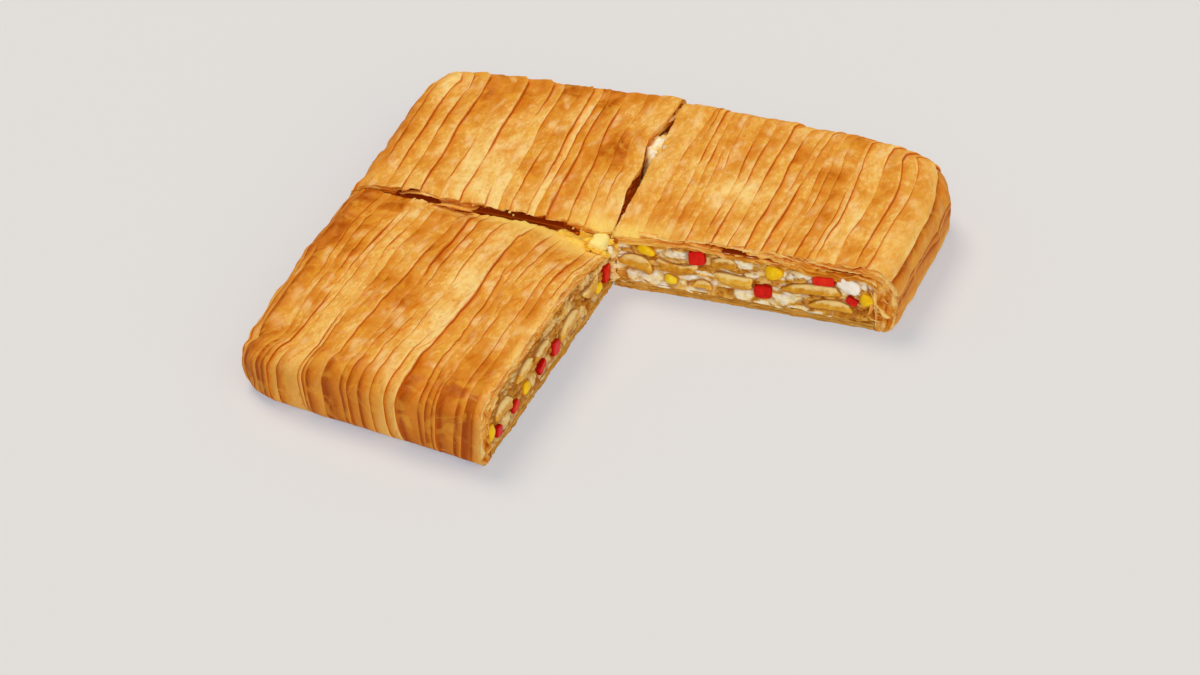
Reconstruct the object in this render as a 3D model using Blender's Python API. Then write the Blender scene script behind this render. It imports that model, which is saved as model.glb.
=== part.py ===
"""A baked phyllo pie with a mushroom, sweet pepper and sweetcorn filling, cut into quarters.

Three of the quarters still lie together in an L. Each quarter is a pleated top crust that wraps
over its outer sides, a filling and a bottom crust, and the larger pieces of the filling that show
at the cuts are solids of their own. Everything is laid out from the crossing of the two cuts, on
the floor: X to the right, Y to the back, Z up. At the end the whole is moved so that the middle of
its footprint is the origin.
"""

import math
import random
from dataclasses import dataclass

import bmesh
import bpy
import numpy as np
from mathutils import Matrix, Vector

# The whole pie, in metres
REACH_LEFT = 0.137
REACH_RIGHT = 0.140
REACH_BACK_LEFT = 0.137
REACH_BACK_RIGHT = 0.1345
REACH_FRONT = 0.1605
CRUST_HEIGHT = 0.0332  # to the bottom of the creases
PLEAT_RISE = (0.0009, 0.0018)  # how far a pleat's folded edge stands up
FIT_GAP = 0.0003  # between pieces that touch
POCKET_GAP = 0.0004  # round a piece set in the filling

# The layers of a quarter
TOP_CRUST = 0.0045
SIDE_CRUST = 0.0095
BOTTOM_CRUST = 0.0045
EDGE_RADIUS = 0.012
FOOT_RADIUS = 0.006
LINING_RADIUS = 0.007
BASE_RADIUS = 0.0006
SIDE_SWELL = 0.0012
FILLING_RECESS = 0.0010  # the filling lies this far behind the crusts' cut edges
CUT_GAP = 0.0005

# How finely the skins are divided
FLAT_ROWS = 9
EDGE_TURNS = 3
FOOT_TURNS = 2
LINING_ROWS = 8
BASE_ROWS = 2

# The pleats' folded edges all face right: (share of the width, share of the rise), by side
PLEAT_FOLDS = {1: ((0.0, 0.0), (0.5, 0.65), (0.9, 1.0)), -1: ((0.0, 0.0), (0.1, 1.0), (0.5, 0.65))}
PLEAT_WAVES = 2.7  # along a pleat
PLEAT_WAVE = 0.09  # share of a pleat's width
PLEAT_TURN = 0.15  # how much a pleat's wave may differ from its neighbour's
PLEAT_FORKS = (0.0, 0.0, 0.0, 0.4, -0.4)  # how far two pleats' edges draw together
FORK_SPAN = (0.2, 0.9)  # where they do so, along the pleat
SLANT_ENDS = (2, 4)  # pleats over which the slant dies away, at the cut and at the outer side
RISE_LOST = 0.6  # share of the rise that the pleats lose on the way down the wall

# Every skin is measured from 0 at the cut to 1 at the floor; its flat top, edge and wall end here
FLAT_SHARE = 0.725
EDGE_SHARE = 0.855
WALL_SHARE = 0.935
SHARES = (0.0, FLAT_SHARE, EDGE_SHARE, WALL_SHARE, 1.0)
PLAIN_SHARES = (0.0, FLAT_SHARE, EDGE_SHARE, 1.0, 1.0)  # without a rounded foot
ROUNDING_SPAN = (0.5, 0.85)  # where the square lines of a skin give way to its rounded outline

# Colours are linear
CRUST_COLOUR = (0.76, 0.36, 0.09)
BASE_COLOUR = (0.58, 0.33, 0.12)
FILLING_COLOUR = (0.80, 0.66, 0.42)
MUSHROOM_COLOUR = (0.55, 0.34, 0.11)
PEPPER_COLOUR = (0.60, 0.025, 0.012)
SWEETCORN_COLOUR = (0.83, 0.44, 0.01)
CHEESE_COLOUR = (0.86, 0.76, 0.56)
MELTED_COLOUR = (0.93, 0.63, 0.19)

TINY = 1e-9
WELD = 2e-6  # points this close are one


@dataclass
class Quarter:
    """A quarter: its side of each cut, its reach, and how its outline departs from a square."""

    name: str
    side_x: int
    side_y: int
    reach_x: float
    reach_y: float
    lean: float  # how far the front-to-back cut leans by its outer end
    corner: tuple  # how far the outer corner lies from the square's
    corner_power: float  # of the rounded outline; a square has none
    pleat_widths: tuple  # from the side cut, over the edge and down to the floor
    slant: float  # how far the pleats run aslant, from the cross cut to their far end
    seed: int
    sags: tuple  # (from the side cut, from the cross cut, spread, spread, depth)
    side_opening: tuple  # (along, spread, width) of each place where the cut stands open
    cross_opening: tuple


@dataclass
class Layer:
    """One closed skin of a quarter, given by how far it lies inside the outermost one."""

    wall: float
    height: float
    top_radius: float
    foot_radius: float
    base: float = 0.0
    recess: float = 0.0
    swell: float = 0.0  # how far its wall bulges
    corner_ease: float = 1.0  # under 1, its outer corner keeps clear of the layer round it


QUARTERS = (
    Quarter(
        name="back_left",
        side_x=-1,
        side_y=1,
        reach_x=REACH_LEFT,
        reach_y=REACH_BACK_LEFT,
        lean=-0.0064,
        corner=(-0.007, -0.005),
        corner_power=14,
        pleat_widths=(
            *(0.0095, 0.0065, 0.0085, 0.0105, 0.0095, 0.0095, 0.0125, 0.0125, 0.0100),
            *(0.0110, 0.0090, 0.0080, 0.0090, 0.0110, 0.0090, 0.0120, 0.0104),
        ),
        slant=0.0045,
        seed=4,
        sags=((0.0, 0.0, 0.025, 0.025, 0.004), (0.055, 0.0, 0.04, 0.006, 0.0015)),
        side_opening=((0.085, 0.022, 0.0055), (0.038, 0.014, 0.0014)),
        cross_opening=((0.060, 0.030, 0.0012), (0.100, 0.010, 0.0015)),
    ),
    Quarter(
        name="back_right",
        side_x=1,
        side_y=1,
        reach_x=REACH_RIGHT,
        reach_y=REACH_BACK_RIGHT,
        lean=-0.0064,
        corner=(0.0075, -0.0110),
        corner_power=6.5,
        pleat_widths=(
            *(0.0130, 0.0100, 0.0040, 0.0085, 0.0120, 0.0080, 0.0075, 0.0085, 0.0070),
            *(0.0090, 0.0095, 0.0090, 0.0090, 0.0060, 0.0150, 0.0105, 0.0090, 0.0158),
        ),
        slant=-0.0010,
        seed=11,
        sags=((0.0, 0.0, 0.030, 0.025, 0.005), (0.0, 0.085, 0.006, 0.030, 0.003)),
        side_opening=((0.040, 0.016, 0.0012),),
        cross_opening=(),
    ),
    Quarter(
        name="front_left",
        side_x=-1,
        side_y=-1,
        reach_x=REACH_LEFT,
        reach_y=REACH_FRONT,
        lean=-0.0043,
        corner=(-0.0010, 0.0205),
        corner_power=13,
        pleat_widths=(
            *(0.0085, 0.0125, 0.0080, 0.0100, 0.0130, 0.0100, 0.0050, 0.0135, 0.0110),
            *(0.0095, 0.0110, 0.0150, 0.0110, 0.0100, 0.0110, 0.0094),
        ),
        slant=0.0010,
        seed=23,
        sags=(
            (0.0, 0.0, 0.030, 0.032, 0.011),
            (0.065, 0.0, 0.045, 0.009, 0.005),
            (0.140, 0.140, 0.035, 0.055, 0.010),
        ),
        side_opening=(),
        cross_opening=((0.070, 0.040, 0.0010),),
    ),
)

OUTER_SKIN = Layer(0.0, CRUST_HEIGHT, EDGE_RADIUS, FOOT_RADIUS, swell=SIDE_SWELL)
LINING = Layer(SIDE_CRUST, CRUST_HEIGHT - TOP_CRUST, LINING_RADIUS, 0.0)
FILLING = Layer(
    SIDE_CRUST + FIT_GAP,
    CRUST_HEIGHT - TOP_CRUST - FIT_GAP,
    LINING_RADIUS,
    0.0,
    base=BOTTOM_CRUST + FIT_GAP,
    recess=FILLING_RECESS,
    corner_ease=0.85,
)
BASE = Layer(SIDE_CRUST + FIT_GAP, BOTTOM_CRUST, BASE_RADIUS, 0.0, corner_ease=0.75)

# The pieces that show at the cuts: kind, distance from the crossing, height of the middle,
# length along the cut, thickness, bend, tilt in degrees
BACK_RIGHT_PIECES = (
    ("mushroom", 0.0112, 0.0142, 0.0170, 0.0072, 0.0010, 14),
    ("mushroom", 0.0322, 0.0160, 0.0195, 0.0052, -0.0016, 2),
    ("mushroom", 0.0610, 0.0140, 0.0200, 0.0062, -0.0008, 7),
    ("mushroom", 0.0985, 0.0158, 0.0270, 0.0056, 0.0004, -7),
    ("mushroom", 0.0450, 0.0082, 0.0090, 0.0042, 0.0004, 0),
    ("mushroom", 0.1085, 0.0087, 0.0205, 0.0050, 0.0008, -4),
    ("mushroom", 0.0555, 0.0221, 0.0130, 0.0054, 0.0006, -4),
    ("pepper", 0.0422, 0.0230, 0.0082, 0.0074, 0.0, -8),
    ("pepper", 0.0752, 0.0105, 0.0084, 0.0068, 0.0, -4),
    ("pepper", 0.1050, 0.0222, 0.0110, 0.0048, 0.0, -4),
    ("pepper", 0.1190, 0.0135, 0.0056, 0.0036, 0.0, 25),
    ("sweetcorn", 0.0165, 0.0222, 0.0090, 0.0050, 0.0, 24),
    ("sweetcorn", 0.0805, 0.0216, 0.0086, 0.0074, 0.0, 0),
    ("sweetcorn", 0.0290, 0.0081, 0.0066, 0.0052, 0.0, 10),
    ("sweetcorn", 0.1262, 0.0150, 0.0066, 0.0066, 0.0, 0),
    ("cheese", 0.1172, 0.0214, 0.0110, 0.0072, 0.0, 24),
)
FRONT_LEFT_PIECES = (
    ("mushroom", 0.1330, 0.0150, 0.0180, 0.0075, 0.0010, 6),
    ("mushroom", 0.1080, 0.0195, 0.0180, 0.0052, 0.0008, -6),
    ("mushroom", 0.0870, 0.0172, 0.0170, 0.0052, 0.0010, 8),
    ("mushroom", 0.0540, 0.0105, 0.0230, 0.0075, 0.0012, -4),
    ("mushroom", 0.0260, 0.0140, 0.0190, 0.0056, -0.0012, 5),
    ("pepper", 0.1402, 0.0078, 0.0060, 0.0050, 0.0, 10),
    ("pepper", 0.1210, 0.0085, 0.0070, 0.0040, 0.0, -20),
    ("pepper", 0.0890, 0.0095, 0.0080, 0.0040, 0.0, -20),
    ("pepper", 0.0715, 0.0090, 0.0080, 0.0070, 0.0, 10),
    ("pepper", 0.0055, 0.0105, 0.0068, 0.0088, 0.0, 0),
    ("sweetcorn", 0.1060, 0.0090, 0.0076, 0.0058, 0.0, 5),
    ("sweetcorn", 0.0150, 0.0078, 0.0076, 0.0050, 0.0, 0),
    ("sweetcorn", 0.1469, 0.0112, 0.0060, 0.0084, 0.0, 0),
)
BACK_LEFT_PIECES = (
    ("mushroom", 0.0760, 0.0190, 0.0200, 0.0062, 0.0012, 5),
    ("cheese", 0.0940, 0.0215, 0.0110, 0.0070, 0.0, 0),
)
PIECE_DEPTH = {"mushroom": 0.008, "pepper": 0.008, "sweetcorn": 0.008, "cheese": 0.009}
PIECE_TAPER = {"mushroom": 0.18, "sweetcorn": -0.25, "cheese": 0.12}
PIECE_SWELL = 2.6  # how blunt a piece's ends are; 2 makes an ellipse
PIECE_SLACK = (0.90, 1.06)  # how far its outline strays, as a share
DICE_SLACK = 0.08
DICE_WEAR = 0.17  # of a dice's edges, as a share of its smaller side
PIECE_INSET = 0.0015  # of a piece's middle, behind the cut
PIECE_PROUD = 0.0002  # how far its cut face stands before the cut

# Lumps of cream sauce on the filling's cut faces: distance, height, length, thickness
BACK_RIGHT_CREAM = (
    (0.0310, 0.0222, 0.0110, 0.0052),
    (0.0655, 0.0232, 0.0130, 0.0050),
    (0.0095, 0.0080, 0.0090, 0.0046),
    (0.0185, 0.0078, 0.0120, 0.0048),
    (0.0370, 0.0110, 0.0100, 0.0050),
    (0.0660, 0.0078, 0.0120, 0.0050),
    (0.0860, 0.0085, 0.0150, 0.0046),
    (0.0950, 0.0228, 0.0120, 0.0044),
    (0.0900, 0.0122, 0.0110, 0.0040),
)
FRONT_LEFT_CREAM = (
    (0.0030, 0.0162, 0.0080, 0.0048),
    (0.0140, 0.0175, 0.0130, 0.0046),
    (0.0320, 0.0212, 0.0150, 0.0058),
    (0.0560, 0.0200, 0.0150, 0.0062),
    (0.0990, 0.0085, 0.0070, 0.0050),
    (0.0370, 0.0080, 0.0100, 0.0046),
    (0.1300, 0.0082, 0.0100, 0.0046),
    (0.0740, 0.0232, 0.0140, 0.0044),
)
BACK_LEFT_CREAM = (
    (0.0600, 0.0200, 0.0110, 0.0060),
    (0.1080, 0.0180, 0.0120, 0.0060),
    (0.0880, 0.0125, 0.0200, 0.0060),
)
CREAM_DEPTH = 0.008

# Gaps between the sheets of the top crust, seen at the cuts: distance, height, length, width,
# bend, tilt in degrees
BACK_RIGHT_GAPS = (
    (0.0570, 0.0310, 0.0160, 0.0016, -0.0010, 0),
    (0.0850, 0.0312, 0.0160, 0.0012, 0.0004, 9),
    (0.1080, 0.0306, 0.0240, 0.0012, 0.0006, 1),
)
FRONT_LEFT_GAPS = (
    (0.0620, 0.0308, 0.0200, 0.0012, 0.0006, -2),
    (0.1020, 0.0308, 0.0220, 0.0013, -0.0006, 2),
)
BACK_LEFT_CROSS_GAPS = (
    (0.0980, 0.0308, 0.0220, 0.0016, 0.0010, 0),
    (0.0500, 0.0306, 0.0300, 0.0014, 0.0004, 1),
)
GAP_DEPTH = 0.009

# The soft yellow piece on the front left quarter's inner corner
MELTED_LENGTH = 0.0115
MELTED_WIDTH = 0.0085
MELTED_THICKNESS = 0.0065
MELTED_INSET = (0.0058, 0.0068)
MELTED_HEIGHT = 0.0243

# Angles between faces, in degrees, up to which a surface is shaded smooth
CRUST_ANGLE = 28
FILLING_ANGLE = 40
MELTED_ANGLE = 50


def smoothstep(low, high, value):
    """Rise from 0 at low to 1 at high, level at both ends."""
    share = np.clip((value - low) / (high - low), 0.0, 1.0)
    return share * share * (3.0 - 2.0 * share)


def marks(layer, reach):
    """Distances along a skin to the end of its flat top, of its edge, of its wall and of its foot."""
    quarter_turn = math.pi / 2
    flat = reach - layer.wall - layer.top_radius
    edge = flat + quarter_turn * layer.top_radius
    wall = edge + layer.height - layer.base - layer.top_radius - layer.foot_radius
    return np.array([0.0, flat, edge, wall, wall + quarter_turn * layer.foot_radius])


def stations(layer, rows):
    """Where a skin's lines lie, from 0 at the cut to 1 at the floor, the same for every layer."""
    flat = np.linspace(0.0, FLAT_SHARE, rows + 1)
    edge = np.linspace(FLAT_SHARE, EDGE_SHARE, EDGE_TURNS + 1)
    turns = FOOT_TURNS if layer.foot_radius > 0 else 1
    foot = np.linspace(WALL_SHARE, 1.0, turns + 1)
    return np.concatenate([flat, edge[1:], foot])


def over_the_edge(distance, reach, layer):
    """Distance out, height, and the skin's outward direction as its parts out and up."""
    top = layer.top_radius
    foot = max(layer.foot_radius, TINY)
    flat = reach - top
    side = layer.height - layer.base - top - foot
    turn = np.clip((distance - flat) / top, 0.0, math.pi / 2)
    down = np.clip(distance - flat - top * math.pi / 2, 0.0, side)
    tuck = np.clip((distance - flat - top * math.pi / 2 - side) / foot, 0.0, math.pi / 2)
    out = np.minimum(distance, flat) + top * np.sin(turn) - foot * (1.0 - np.cos(tuck))
    height = layer.height - top * (1.0 - np.cos(turn)) - down - foot * np.sin(tuck)
    return out, height, np.sin(turn) * np.cos(tuck), np.cos(turn) - np.sin(tuck)


def opening(places, along):
    """How far a cut face stands back at a distance along the cut."""
    width = CUT_GAP + 0.0 * along
    for middle, spread, most in places:
        width = width + most * np.exp(-(((along - middle) / spread) ** 2))
    return width


def lay_out(quarter, a, b, z, recess=0.0):
    """World places of points given by their distances from the two cuts."""
    u = a / quarter.reach_x
    v = b / quarter.reach_y
    side_gap = opening(quarter.side_opening, b) + recess
    cross_gap = opening(quarter.cross_opening, a) + recess
    out_x = a + side_gap * np.clip(1.0 - u, 0.0, 1.0)
    out_y = b + cross_gap * np.clip(1.0 - v, 0.0, 1.0)
    x = quarter.side_x * out_x + quarter.lean * v * (1.0 - u) + quarter.corner[0] * u * v
    y = quarter.side_y * out_y + quarter.corner[1] * u * v
    return np.stack([x, y, z + 0.0 * x], axis=-1)


def sag(quarter, a, b):
    """How far the top lies below its full height."""
    depth = 0.0 * a
    for from_side, from_cross, spread_a, spread_b, most in quarter.sags:
        reach = ((a - from_side) / spread_a) ** 2 + ((b - from_cross) / spread_b) ** 2
        depth = depth + most * np.exp(-reach)
    return depth


def skin(quarter, layer, across, along, lift=0.0):
    """Points of a layer's skin; across and along run from 0 at the cuts to 1 at the foot."""
    ring = np.maximum(across, along)
    toward_y = along**2 / (across**2 + along**2 + TINY)
    reach_x = quarter.reach_x - layer.wall
    reach_y = quarter.reach_y - layer.wall
    reach = reach_x + (reach_y - reach_x) * toward_y
    shares = SHARES if layer.foot_radius > 0 else PLAIN_SHARES
    distance = np.interp(ring, shares, marks(layer, quarter.reach_x)) * (1.0 - toward_y)
    distance = distance + np.interp(ring, shares, marks(layer, quarter.reach_y)) * toward_y
    out, height, part_out, part_up = over_the_edge(distance, reach, layer)

    power = quarter.corner_power * layer.corner_ease
    rounded = (across**power + along**power) ** (1.0 / power)
    share = smoothstep(*ROUNDING_SPAN, ring)
    scale = (1.0 - share) / np.maximum(ring, TINY) + share / np.maximum(rounded, TINY)
    normal_x = across ** (power - 1)
    normal_y = along ** (power - 1)
    normal = np.hypot(normal_x, normal_y) + TINY
    swell = layer.swell * np.sin(math.pi * np.clip(height / layer.height, 0.0, 1.0))
    push = (lift + swell) * part_out
    a = across * scale * out / reach * reach_x + push * normal_x / normal
    b = along * scale * out / reach * reach_y + push * normal_y / normal
    rise = np.where(ring < 1.0, lift * np.maximum(part_up, 0.0), 0.0)
    share_up = np.clip((height - BOTTOM_CRUST) / (CRUST_HEIGHT - BOTTOM_CRUST), 0.0, 1.0)
    z = np.maximum(height - sag(quarter, a, b) * share_up + rise, layer.base)
    z = np.where(ring < 1.0, z, layer.base)
    return lay_out(quarter, a, b, z, layer.recess)


def pleat_edges(quarter, along):
    """Where each pleat starts, across the quarter, at the places along it, and how far it rises."""
    draw = random.Random(quarter.seed)
    widths = quarter.pleat_widths
    last = len(widths)
    total = sum(widths)
    turn = draw.random()
    edges = [0.0 * along]
    for pleat in range(1, last):
        turn += draw.uniform(-PLEAT_TURN, PLEAT_TURN)
        wave = PLEAT_WAVE * np.sin(2 * math.pi * (PLEAT_WAVES * along + turn))
        fork = draw.choice(PLEAT_FORKS) * smoothstep(*FORK_SPAN, along)
        room = min(widths[pleat - 1], widths[pleat])
        part = min(1.0, pleat / SLANT_ENDS[0], (last - pleat) / SLANT_ENDS[1])
        slant = quarter.slant * (FLAT_SHARE / 2 - along) * part
        edges.append((sum(widths[:pleat]) - slant + room * (wave + fork)) / total)
    edges.append(np.ones_like(along))
    rises = [draw.uniform(*PLEAT_RISE) for _ in widths]
    return edges, rises


def pleated_grid(quarter):
    """The top crust's outer skin: a grid of points, its lines running along the folds."""
    along = stations(OUTER_SKIN, FLAT_ROWS)
    edges, rises = pleat_edges(quarter, along)
    columns = []
    lifts = []
    for pleat, rise in enumerate(rises):
        width = edges[pleat + 1] - edges[pleat]
        for place, share in PLEAT_FOLDS[quarter.side_x]:
            columns.append(edges[pleat] + width * place)
            lifts.append(rise * share)
    columns.append(np.ones_like(along))
    lifts.append(0.0)
    across = np.array(columns)
    down = np.broadcast_to(along, across.shape)
    lift = np.broadcast_to(np.array(lifts)[:, None], across.shape)
    lift = lift * (1.0 - RISE_LOST * smoothstep(EDGE_SHARE, 1.0, np.maximum(across, down)))
    return skin(quarter, OUTER_SKIN, across, down, lift), across[:, 0], along


def plain_grid(quarter, layer, rows):
    """A layer's smooth skin, with the shares of its length that its lines lie at."""
    shares = stations(layer, rows)
    across, along = np.meshgrid(shares, shares, indexing="ij")
    return skin(quarter, layer, across, along), shares


class Skinner:
    """Collects points and faces of one mesh."""

    def __init__(self):
        self.points = []
        self.faces = []

    def grid(self, points):
        """Add a grid of points with its faces, and return the points' numbers."""
        first = len(self.points)
        rows, columns = points.shape[:2]
        self.points += [tuple(p) for p in points.reshape(-1, 3)]
        numbers = first + np.arange(rows * columns).reshape(rows, columns)
        for i in range(rows - 1):
            for j in range(columns - 1):
                corner = numbers[i : i + 2, j : j + 2]
                self.faces.append([corner[0, 0], corner[1, 0], corner[1, 1], corner[0, 1]])
        return numbers

    def zip_up(self, first, first_places, second, second_places):
        """Fill the strip between two rows of points, each with its places along the strip."""
        i = 0
        j = 0
        while i < len(first) - 1 or j < len(second) - 1:
            next_i = first_places[i + 1] if i < len(first) - 1 else math.inf
            next_j = second_places[j + 1] if j < len(second) - 1 else math.inf
            if next_i <= next_j:
                self.faces.append([first[i], first[i + 1], second[j]])
                i += 1
            else:
                self.faces.append([first[i], second[j + 1], second[j]])
                j += 1

    def finish(self, name, flat_faces=()):
        """Make the object, with its faces turned outwards."""
        mesh = bpy.data.meshes.new(name)
        faces = [[int(n) for n in face] for face in self.faces + list(flat_faces)]
        mesh.from_pydata(self.points, [], faces)
        bm = bmesh.new()
        bm.from_mesh(mesh)
        bmesh.ops.recalc_face_normals(bm, faces=bm.faces)
        if bm.calc_volume(signed=True) < 0:
            bmesh.ops.reverse_faces(bm, faces=bm.faces)
        bm.to_mesh(mesh)
        bm.free()
        return link(name, mesh)


def link(name, mesh):
    """Put a mesh in the scene as an object."""
    made = bpy.data.objects.new(name, mesh)
    bpy.context.scene.collection.objects.link(made)
    return made


def material(name, colour, roughness):
    """A plain surface of one colour."""
    made = bpy.data.materials.get(name)
    if made is None:
        made = bpy.data.materials.new(name)
        made.use_nodes = True
        surface = made.node_tree.nodes["Principled BSDF"]
        surface.inputs["Base Color"].default_value = (*colour, 1.0)
        surface.inputs["Roughness"].default_value = roughness
        surface.inputs["Metallic"].default_value = 0.0
    return made


def dress(made, finish, angle=None):
    """Give an object its material, and shade it smooth up to an angle between faces."""
    made.data.materials.clear()
    made.data.materials.append(finish)
    if angle is not None:
        made.data.shade_smooth()
        made.data.set_sharp_from_angle(angle=math.radians(angle))
    return made


def foot_ring(numbers):
    """The points of a skin's foot, from the cross cut round the corner to the side cut."""
    return list(numbers[-1, :]) + list(numbers[-2::-1, -1])


def foot_places(across, along):
    """Places along the foot ring, for pairing two rings of different counts."""
    return list(along) + [2.0 - share for share in across[-2::-1]]


def top_crust(quarter):
    """The pleated sheets: a shell over the filling that comes down the outer sides."""
    skinner = Skinner()
    points, across, along = pleated_grid(quarter)
    outer = skinner.grid(points)
    lining, shares = plain_grid(quarter, LINING, LINING_ROWS)
    inner = skinner.grid(lining)
    skinner.zip_up(outer[:, 0], across, inner[:, 0], shares)
    skinner.zip_up(outer[0, :], along, inner[0, :], shares)
    outer_places = foot_places(across, along)
    skinner.zip_up(foot_ring(outer), outer_places, foot_ring(inner), foot_places(shares, shares))
    return skinner.finish(f"{quarter.name}_crust_top")


def solid_quarter(quarter, layer, rows, name):
    """A closed block in the shape of a layer: its skin, its two cut faces and its underside."""
    skinner = Skinner()
    points, _ = plain_grid(quarter, layer, rows)
    numbers = skinner.grid(points)
    inner_corner = len(skinner.points)
    skinner.points.append((*points[0, 0, :2], layer.base))
    cross_cut = cut_face(skinner, points[:, 0], numbers[:, 0], layer, rows, inner_corner)
    side_cut = cut_face(skinner, points[0, :], numbers[0, :], layer, rows, inner_corner)
    underside = foot_ring(numbers) + side_cut[::-1] + [inner_corner] + cross_cut
    return skinner.finish(name, [underside])


def cut_face(skinner, points, numbers, layer, rows, corner):
    """Fill a cut face down to the layer's base, and return the points made on its lower edge."""
    lower = [corner]
    for point in points[1:rows]:
        lower.append(len(skinner.points))
        skinner.points.append((*point[:2], layer.base))
    for i in range(rows - 1):
        skinner.faces.append([numbers[i], numbers[i + 1], lower[i + 1], lower[i]])
    skinner.faces.append([*numbers[rows - 1 :], lower[-1]])
    return lower[1:]


def bean(length, depth, thickness, bend, seed, taper=0.0, rings=4, sides=8):
    """A rounded piece, long in X, with its irregular outline drawn from its seed."""
    draw = random.Random(seed)
    mesh = bmesh.new()
    lines = []
    for ring in range(rings):
        place = 2.0 * (ring + 1) / (rings + 1) - 1.0
        reach = (1.0 - abs(place) ** PIECE_SWELL) ** (1 / PIECE_SWELL)
        wide = reach * (1.0 + taper * place)
        middle = Vector((place * length / 2, 0.0, bend * (1.0 - 2.0 * place * place)))
        line = []
        for side in range(sides):
            turn = 2 * math.pi * side / sides
            size = wide * draw.uniform(*PIECE_SLACK)
            reach_y = math.cos(turn) * depth / 2 * size
            reach_z = math.sin(turn) * thickness / 2 * size
            line.append(mesh.verts.new(middle + Vector((0.0, reach_y, reach_z))))
        lines.append(line)
    for first, second in zip(lines, lines[1:]):
        for side in range(sides):
            after = (side + 1) % sides
            mesh.faces.new([first[side], first[after], second[after], second[side]])
    for line, end in ((lines[0], -1.0), (lines[-1], 1.0)):
        tip = mesh.verts.new((end * length / 2, 0.0, -bend))
        for side in range(sides):
            after = (side + 1) % sides
            mesh.faces.new([line[side], line[after], tip])
    bmesh.ops.recalc_face_normals(mesh, faces=mesh.faces)
    return mesh


def dice(length, depth, thickness, seed):
    """A diced piece: a box with worn edges and sides that aren't quite square."""
    draw = random.Random(seed)
    mesh = bmesh.new()
    bmesh.ops.create_cube(mesh, size=1.0)
    bmesh.ops.scale(mesh, vec=(length, depth, thickness), verts=mesh.verts)
    for corner in mesh.verts:
        corner.co.x *= 1.0 + draw.uniform(-DICE_SLACK, DICE_SLACK)
        corner.co.z *= 1.0 + draw.uniform(-DICE_SLACK, DICE_SLACK)
    worn = DICE_WEAR * min(length, thickness)
    bmesh.ops.bevel(
        mesh, geom=mesh.edges, offset=worn, segments=1, affect="EDGES", profile=0.5
    )
    return mesh


def filling_piece(kind, length, thickness, bend, seed, grow=0.0):
    """The mesh of one piece of the filling, or of its pocket where it grows by the gap."""
    depth = PIECE_DEPTH[kind] + 2 * grow
    length = length + 2 * grow
    thickness = thickness + 2 * grow
    if kind == "pepper":
        return dice(length, depth, thickness, seed)
    return bean(length, depth, thickness, bend, seed, taper=PIECE_TAPER[kind])


def at_cut(quarter, cut, along, height, inset, tilt=0.0):
    """The place of a piece at a cut: its Y points into the pie and its Z up."""
    step = 0.001
    a, b = (inset, along) if cut == "side" else (along, inset)
    next_a, next_b = (inset, along + step) if cut == "side" else (along + step, inset)
    here = Vector(lay_out(quarter, a, b, height))
    line = Vector(lay_out(quarter, next_a, next_b, height)) - here
    if cut == "side":
        inward = Vector((line.y, -line.x, 0.0)) * quarter.side_x * quarter.side_y
    else:
        inward = Vector((-line.y, line.x, 0.0)) * quarter.side_x * quarter.side_y
    inward.normalize()
    up = Vector((0.0, 0.0, 1.0))
    right = inward.cross(up)
    turn = Matrix((right, inward, up)).transposed().to_4x4()
    return Matrix.Translation(here) @ turn @ Matrix.Rotation(math.radians(tilt), 4, "Y")


def placed(mesh, name, matrix):
    """Move a mesh to its place and make it an object."""
    bmesh.ops.transform(mesh, matrix=matrix, verts=mesh.verts)
    data = bpy.data.meshes.new(name)
    mesh.to_mesh(data)
    mesh.free()
    return link(name, data)


def trim_at_cut(mesh, proud, inset):
    """Cut a piece where it comes out of the pie's cut face, as the knife did."""
    geometry = mesh.verts[:] + mesh.edges[:] + mesh.faces[:]
    bmesh.ops.bisect_plane(
        mesh,
        geom=geometry,
        plane_co=(0.0, -proud - inset, 0.0),
        plane_no=(0.0, -1.0, 0.0),
        clear_outer=True,
    )
    rim = [edge for edge in mesh.edges if edge.is_boundary]
    bmesh.ops.holes_fill(mesh, edges=rim, sides=0)
    bmesh.ops.recalc_face_normals(mesh, faces=mesh.faces)


def combine(target, operation, helpers, solver="EXACT"):
    """Join helper solids to the target, or cut them out of it, and remove them."""
    group = bpy.data.collections.new(f"{target.name}_{operation.lower()}")
    bpy.context.scene.collection.children.link(group)
    for helper in helpers:
        group.objects.link(helper)
    modifier = target.modifiers.new(operation.title(), "BOOLEAN")
    modifier.operation = operation
    modifier.operand_type = "COLLECTION"
    modifier.collection = group
    modifier.solver = solver
    graph = bpy.context.evaluated_depsgraph_get()
    result = bpy.data.meshes.new_from_object(target.evaluated_get(graph))
    target.modifiers.clear()
    target.data = result
    for helper in helpers:
        bpy.data.objects.remove(helper)
    bpy.data.collections.remove(group)
    keep_largest(target)


def keep_largest(target):
    """Drop the scraps that a cut leaves, loose or hanging on by an edge."""
    mesh = bmesh.new()
    mesh.from_mesh(target.data)
    bmesh.ops.remove_doubles(mesh, verts=mesh.verts, dist=WELD)
    bmesh.ops.dissolve_degenerate(mesh, edges=mesh.edges, dist=WELD)
    left = set(mesh.faces)
    bodies = []
    while left:
        body = []
        front = [left.pop()]
        while front:
            face = front.pop()
            body.append(face)
            seams = [edge for edge in face.edges if len(edge.link_faces) == 2]
            near = {other for edge in seams for other in edge.link_faces} & left
            left -= near
            front += near
        bodies.append(body)
    bodies.sort(key=len)
    for body in bodies[:-1]:
        bmesh.ops.delete(mesh, geom=body, context="FACES")
    mesh.to_mesh(target.data)
    mesh.free()


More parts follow.
